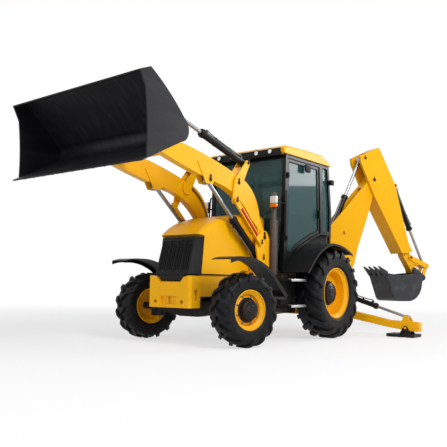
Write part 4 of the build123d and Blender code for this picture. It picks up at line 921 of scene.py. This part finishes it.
# %% Pin heads
PINS = (    # body, x, z, outward y of the head, radius
    ("chassis", 1250, 1505, 576, 0.035), ("chassis", 1268, 1197, 576, 0.025),
    ("tilt_levers", 1880, 2232, 576, 0.028), ("tilt_levers", 1666, 2545, 576, 0.025),
    ("level_links", 1969, 1964, 620, 0.026), ("chassis", 1375, 1415, 620, 0.022),
    ("loader_arms", 2482, 2198, 562, 0.030), ("loader_bucket", 3480, 2530, 576, 0.030),
    ("loader_bucket", 3640, 3110, 576, 0.025),
)
ARM_PINS = (    # body, reach, height, head's distance from the arm's middle, radius
    ("kingpost", 250, 800, 92, 0.035), ("boom", 460, 1800, 112, 0.024), ("boom", 1144, 2860, 176, 0.035),
    ("dipper", 927, 3265, 176, 0.030), ("tipping_lever", 2097, 1390, 112, 0.025),
    ("dipper", 1745, 2800, 86, 0.022),
)
keepers = {}
for body, x, z, y, radius in PINS:
    mesh = keepers.setdefault(body, bmesh.new())
    for _, hand in SIDES:
        spot = side_point(x, hand * y, z)
        face = Vector((0.0, hand, 0.0))
        flag = spot + Vector((0.0, hand * 0.005, radius * 1.25))
        round_bar(mesh, spot - face * 0.004, spot + face * 0.007, radius * 0.92, 0.003, 28)
        block(mesh, flag, (radius * 0.9, 0.008, radius * 1.9), 0.002)
        bolt(mesh, spot + Vector((0.0, hand * 0.009, radius * 1.8)), face, 0.008)
        bolt(mesh, spot + face * 0.007, face, 0.005)
for body, reach, height, off, radius in ARM_PINS:
    mesh = keepers.setdefault(body, bmesh.new())
    for _, hand in SIDES:
        spot = arm_point(reach, height, hand * off)
        face = ARM_LEFT * hand
        round_bar(mesh, spot - face * 0.006, spot + face * 0.006, radius * 0.92, 0.003, 28)
        bolt(mesh, spot + face * 0.006, face, 0.006)
        bolt(mesh, spot + Vector((0.0, 0.0, radius * 1.35)) - face * 0.002, face, 0.008)
for body, mesh in keepers.items():
    finished("keepers_" + body, mesh, body, black_paint)
print("pins kept", len(keepers))

# %% [markdown]
# ## Red strips on the level links
# The long links beside the loader's arms carry a red strip. It is a thin plate
# laid along the line between a link's two pins, and stands a little proud of the
# link, because two faces at the same place would flicker.

# %% Link strips
strips = bmesh.new()
for _, hand in SIDES:
    foot, head = side_point(1375, hand * 612, 1415), side_point(1969, hand * 612, 1964)
    middle = foot.lerp(head, 0.50) + Vector((0, hand * 0.0012, 0))
    block(strips, middle, (0.0034, 0.050, 0.520), 0.001, turned_to(head - foot))
finished("link_strips", strips, "level_links", red_paint)
print("strips laid")

# %% [markdown]
# ## Grille
# The nose grille is a moulding whose fine bars stand behind four tall frames. A
# texture of stripes would stay flat where the light grazes it, so each bar is a
# small block, and all of them lean back with the nose.

# %% Grille bars and frames
FACE = Vector((0.9675, 0.0, 0.2527))     # out of the nose
RISE = Vector((-0.2527, 0.0, 0.9675))    # up along it
SLOPE = Matrix((FACE, (0.0, 1.0, 0.0), RISE)).transposed().to_4x4()
PANEL = 0.138                            # one panel's width
grille_foot = side_point(2602, 0, 935)
bars = bmesh.new()
for number in range(4):
    y = (number - 1.5) * PANEL
    for step in range(17):
        spot = grille_foot + Vector((0, y, 0)) + RISE * (0.075 + step * 0.0225) - FACE * 0.022
        block(bars, spot, (0.010, 0.108, 0.007), 0.0015, SLOPE, 1)
finished("grille_bars", bars, "chassis", cab_plastic)
frames = bmesh.new()
for number in range(5):
    spot = grille_foot + Vector((0, (number - 2) * PANEL, 0)) + RISE * 0.255 + FACE * 0.001
    block(frames, spot, (0.008, 0.012, 0.452), 0.003, SLOPE)
for along in (0.030, 0.480):
    block(frames, grille_foot + RISE * along + FACE * 0.001, (0.008, 0.566, 0.012), 0.003, SLOPE)
finished("grille_frames", frames, "chassis", black_paint)
print("grille dressed")

# %% [markdown]
# ## Visor and lamps
# Over the windscreen a black visor carries the work lamps, each in a deep turned
# bezel. Marker lamps stand out on stalks at the cab's front posts, white over
# amber, as blocks with well rounded edges.

# %% Visor and lamp bezels
visor = bmesh.new()
block(visor, (0.655, 0.0, 2.826), (0.016, 1.37, 0.112), 0.006)
block(visor, (0.640, 0.0, 2.806), (0.050, 1.40, 0.016), 0.005)
finished("visor", visor, "chassis", cab_plastic)
WORK_LAMPS = (    # x, height, radius, and the places across
    (0.664, 2.842, 0.036, (-0.500, -0.245, 0.245, 0.500)),
    (-0.800, 2.825, 0.040, (-0.450, 0.450)),
)
bezels = bmesh.new()
for x, z, radius, places in WORK_LAMPS:
    outward = (1.0, 0.0, 0.0) if x > 0 else (-1.0, 0.0, 0.0)
    for y in places:
        turned(bezels, [(radius * 1.02, -0.004), (radius * 1.34, -0.004), (radius * 1.36, 0.010),
                        (radius * 1.16, 0.020), (radius * 0.99, 0.016), (radius * 0.97, 0.0)],
               (x, y, z), outward, 32)
finished("lamp_bezels", bezels, "chassis", cab_plastic)
print("visor fitted")

# %% Marker and tail lamps
for side, hand in SIDES:
    y = hand * 0.672
    holder = bmesh.new()
    round_bar(holder, (0.560, hand * 0.725, 2.030), (0.742, hand * 0.705, 2.030), 0.011, 0.002)
    block(holder, (0.770, y, 2.035), (0.052, 0.128, 0.180), 0.012)
    finished("marker_body_" + side, holder, "chassis", cab_plastic)
    moulding("marker_white_" + side, (0.806, y, 2.069), (0.050, 0.118, 0.106), 0.012,
             "chassis", white_plastic)
    moulding("marker_amber_" + side, (0.806, y, 1.983), (0.050, 0.118, 0.058), 0.012,
             "chassis", amber_plastic)
    moulding("tail_lamp_" + side, (-0.815, hand * 0.640, 1.250), (0.020, 0.090, 0.180), 0.008,
             "chassis", red_paint, segments=2)
print("lamps fitted")

# %% [markdown]
# ## Cab trim
# Rubber hides the joint between steel and glass, so each door's seal is a soft
# round cord that follows its pane. Grab rails are bent tube, and handles,
# latches and flashers are small mouldings. What sits on a door rides with it.

# %% Door seals, handles, rails and flashers
DOOR_PANE = ((848, 1330), (800, 2695), (-45, 2695), (-72, 1700),
             (110, 1645), (410, 1520), (585, 1440), (725, 1330))
GRAB_RAIL = ((930, 715, 1560), (955, 745, 1565), (960, 748, 1620),
             (935, 748, 2180), (915, 745, 2225), (900, 712, 2225))
for side, hand in SIDES:
    seal("door_seal_" + side, [side_point(x, hand * 700, z) for x, z in DOOR_PANE], 0.007, "door_" + side)
    handle = bmesh.new()
    block(handle, side_point(-66, hand * 738, 1960), (0.034, 0.020, 0.150), 0.006)
    round_bar(handle, side_point(-66, hand * 742, 1915), side_point(-66, hand * 752, 1915), 0.012)
    finished("door_handle_" + side, handle, "door_" + side, cab_plastic)
    pipe("grab_rail_" + side, [side_point(x, hand * y, z) for x, y, z in GRAB_RAIL], 0.013,
         "chassis", cab_paint)
    moulding("door_top_latch_" + side, side_point(340, hand * 752, 2650), (0.150, 0.040, 0.120), 0.018,
             "door_" + side, cab_plastic)
    moulding("rear_flasher_" + side, side_point(-440, hand * 752, 2530), (0.090, 0.050, 0.085), 0.012,
             "chassis", cab_plastic)
print("doors trimmed")

# %% Wipers
WIPERS = (    # name, foot's x and z, reach up the glass, its lean forward, the way that it faces
    ("front", 935, 1420, 0.620, -0.034, 1),
    ("rear", -470, 2060, 0.420, 0.10, -1),
)
for name, x, z, reach, lean, way in WIPERS:
    wiper = bmesh.new()
    root = side_point(x + way * 12, 60, z)
    tip = root + Vector((lean * reach / 0.62, -0.26, reach * 0.9))
    round_bar(wiper, root - Vector((way * 0.02, 0, 0)), root + Vector((way * 0.012, 0, 0)), 0.016, 0.003)
    round_bar(wiper, root, root.lerp(tip, 0.62), 0.006, 0.001, 10)
    round_bar(wiper, root.lerp(tip, 0.30), tip, 0.004, 0.001, 8)
    finished("wiper_" + name, wiper, "chassis", cab_plastic)
print("wipers fitted")

# %% [markdown]
# ## Seat
# The driver's seat is foam under cloth: a crowned cushion and a tall back with
# side bolsters and two sewn channels. A cloth simulation could blow such a pad
# up. Here a box is subdivided and its points are pushed out by a smooth swell,
# then pulled in along the seams, which gives a crowned form at once.

# %% Crowned cushions
SEAM_WIDTH = 0.045    # a seam's reach to each side, as a share of the width
BOLSTER = 0.30        # where the raised sides begin, as a share of the width
SEAMS = (-0.14, 0.14)
CROWN = 0.22          # the swell in the middle, as a share of the thickness


def cushion(name, place, size, turn=None):
    """A padded block: fuller in the middle, raised at its sides, pulled in at the sewn lines."""
    mesh = bmesh.new()
    bmesh.ops.create_cube(mesh, size=1.0)
    bmesh.ops.bevel(mesh, geom=list(mesh.edges), offset=0.10, offset_type="OFFSET", segments=4,
                    profile=0.5, affect="EDGES", material=-1)
    bmesh.ops.subdivide_edges(mesh, edges=list(mesh.edges), cuts=3, use_grid_fill=True)
    for vert in mesh.verts:
        x, y, z = vert.co
        rise = CROWN * (max(0.0, 1 - (2 * x) ** 2) * max(0.0, 1 - (2 * y) ** 2))
        for line in SEAMS:
            rise -= CROWN * 0.55 * max(0.0, 1 - abs(y - line) / SEAM_WIDTH) * (1 - (2 * x) ** 4)
        if abs(y) > BOLSTER:
            rise += CROWN * 0.45 * (abs(y) - BOLSTER) / 0.20 * (1 - abs(2 * x) ** 6)
        vert.co.z = z + (rise if z > 0 else 0.0)
        vert.co.x = x * (1 - 0.05 * (2 * y) ** 2)
    matrix = Matrix.Translation(place) @ (turn or Matrix()) @ Matrix.Diagonal((*size, 1.0))
    bmesh.ops.transform(mesh, matrix=matrix, verts=mesh.verts)
    piece = finished(name, mesh, "chassis", seat_cloth, 60.0)
    return piece


seat_pad = cushion("seat_cushion", (-0.060, 0.0, 1.455), (0.470, 0.470, 0.105))
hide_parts("seat")
cushion("seat_back", (-0.330, 0.0, 1.805), (0.560, 0.455, 0.100), Matrix.Rotation(radians(-80.0), 4, "Y"))

# %% The seat's frame and bellows
seat_frame = bmesh.new()
block(seat_frame, (-0.060, 0.0, 1.385), (0.440, 0.430, 0.030), 0.010)
block(seat_frame, (-0.060, 0.0, 1.300), (0.300, 0.300, 0.150), 0.020)
for fold in range(5):
    wide = 0.310 + 0.02 * (fold % 2)
    block(seat_frame, (-0.060, 0.0, 1.060 + fold * 0.038), (wide, wide, 0.030), 0.010)
block(seat_frame, (-0.365, 0.0, 1.640), (0.030, 0.300, 0.460), 0.010, Matrix.Rotation(radians(10.0), 4, "Y"))
finished("seat_frame", seat_frame, "chassis", cab_plastic)
print("seat framed")

# %% [markdown]
# ## Levers, steps and the exhaust
# Two banks of levers stand behind the seat for digging, and three on a console
# for loading, each with a turned knob. The steps wear an alloy tread whose raised
# bars give a muddy boot its grip. Band clamps hold the exhaust, and its mouth is
# rolled.

# %% Levers
KNOB = ((0.0, -0.020), (0.012, -0.018), (0.017, 0.0), (0.013, 0.016), (0.0, 0.020))
CONSOLE_KNOB = ((0.0, -0.020), (0.012, -0.018), (0.018, 0.0), (0.012, 0.018), (0.0, 0.022))
levers = bmesh.new()
for y in (-0.210, -0.170, 0.170, 0.210):
    for x in (-0.690, -0.650):
        round_bar(levers, (x, y, 1.560), (x - 0.010, y, 1.760), 0.006, 0.001, 10)
        turned(levers, KNOB, (x - 0.010, y, 1.770), UP, 20)
block(levers, (0.300, 0.300, 1.330), (0.240, 0.100, 0.300), 0.020)
for k in range(3):
    x = 0.055 * k
    round_bar(levers, (0.240 + x, 0.300, 1.470), (0.225 + x, 0.300, 1.620), 0.006, 0.001, 10)
    turned(levers, CONSOLE_KNOB, (0.223 + x, 0.300, 1.630), UP, 20)
finished("cab_levers", levers, "chassis", cab_plastic)
print("levers set")

# %% Step treads
treads = bmesh.new()
for _, hand in SIDES:
    for z in (520, 895):
        block(treads, side_point(945, hand * 945, z + 3), (0.400, 0.056, 0.006), 0.002)
        block(treads, side_point(945, hand * 979, z - 12), (0.400, 0.006, 0.030), 0.002)
        for step in range(12):
            spot = side_point(761 + step * 33.5, hand * 945, z + 7)
            block(treads, spot, (0.008, 0.050, 0.004), 0.001, segments=1)
finished("step_treads", treads, "chassis", tread_alloy)
print("steps shod")

# %% Exhaust clamps
STACK_X, STACK_Y = 0.710, 0.610
clamps = bmesh.new()
for z, radius in ((1.02, 0.0585), (1.40, 0.0585), (1.72, 0.0585), (1.80, 0.0395)):
    band(clamps, radius * 0.99, radius * 1.05, 0.012, (STACK_X, STACK_Y, z), UP)
    block(clamps, (STACK_X, STACK_Y + radius * 1.1, z), (0.014, 0.026, 0.018), 0.003)
turned(clamps, [(0.0385, -0.03), (0.0405, -0.03), (0.0415, 0.0), (0.0365, 0.002), (0.034, -0.05)],
       (STACK_X, STACK_Y, 2.188), UP, 40)
finished("exhaust_clamps", clamps, "chassis", exhaust_steel)
print("clamps made")

# %% [markdown]
# ## Blade bolts and street pads
# The loader bucket's blade is bolted on, so that it can be changed when it is
# worn. Both stabiliser feet have rubber street pads, which are kept as nine
# separate lugs because that is how they are moulded.

# %% Blade bolts and street pads
BLADE_FACE = Vector((-0.456, 0.0, -0.89))
blade_middle = side_point(4252, 0, 2110)
blade = bmesh.new()
for number in range(12):
    y = (number - 5.5) * 0.190
    bolt(blade, blade_middle + Vector((-0.02, y, 0.0)), BLADE_FACE, 0.012)
finished("blade_bolts", blade, "loader_bucket", zinc)
for side, hand in SIDES:
    lugs = bmesh.new()
    for x in (-1.555, -1.450, -1.345):
        for k in (-1, 0, 1):
            block(lugs, (x, hand * (1.70 + 0.150 * k), 0.016), (0.085, 0.130, 0.022), 0.005)
    finished("street_pad_" + side, lugs, "stabiliser_pad_" + side, tyre_rubber)
print("edges and pads done")

# %% [markdown]
# ## Hydraulic lines
# Steel pipes run along the loader's arms and the boom, and short rubber hoses
# rise ahead of the cab. Each is one smooth curve through a few points, given on
# the body that it is clamped to, so that it never stretches when the arm moves.

# %% Lines on the arms
for side, hand in SIDES:
    for k in (0, 1):
        y = hand * (420 - 16 * k)
        path = ((1330, y, 1700), (1400, y, 1860), (1480, y, 2010), (1620, y, 2170), (1780, y, 2250 + 14 * k))
        pipe("arm_pipe_%s_%d" % (side, k), [side_point(*p) for p in path], STEEL_PIPE, "loader_arms",
             zinc)
for k in (0, 1, 2):
    off = -118 - 3 * (k % 2)
    path = ((300 + 24 * k, 960), (395 + 24 * k, 1400), (560 + 22 * k, 1900), (700 + 20 * k, 2190))
    pipe("boom_pipe_%d" % k, [arm_point(*p, off) for p in path], STEEL_PIPE, "boom", zinc)
print("arm pipes laid")

# %% Hoses ahead of the cab
for k in (0, 1):
    y = 455 - 30 * k
    path = ((1175, y - 3, 1010), (1175, y, 1180), (1150, y, 1320), (1160, y - 15, 1430))
    pipe("tower_pipe_%d" % k, [side_point(*p) for p in path], 0.012, "chassis", hose_rubber)
for k, (inward, top) in enumerate(((0, 1385), (26, 1400), (54, 1370), (80, 1390))):
    path = ((1120, 535 - inward, 985), (1112, 540 - inward, 1120), (1086 + 8 * k, 520 - inward, 1260),
            (1110, 500 - inward, top), (1168, 492 - inward, top + 12))
    pipe("tower_hose_%d" % k, [side_point(*p) for p in path], 0.010, "chassis", hose_rubber)
print("hoses laid")
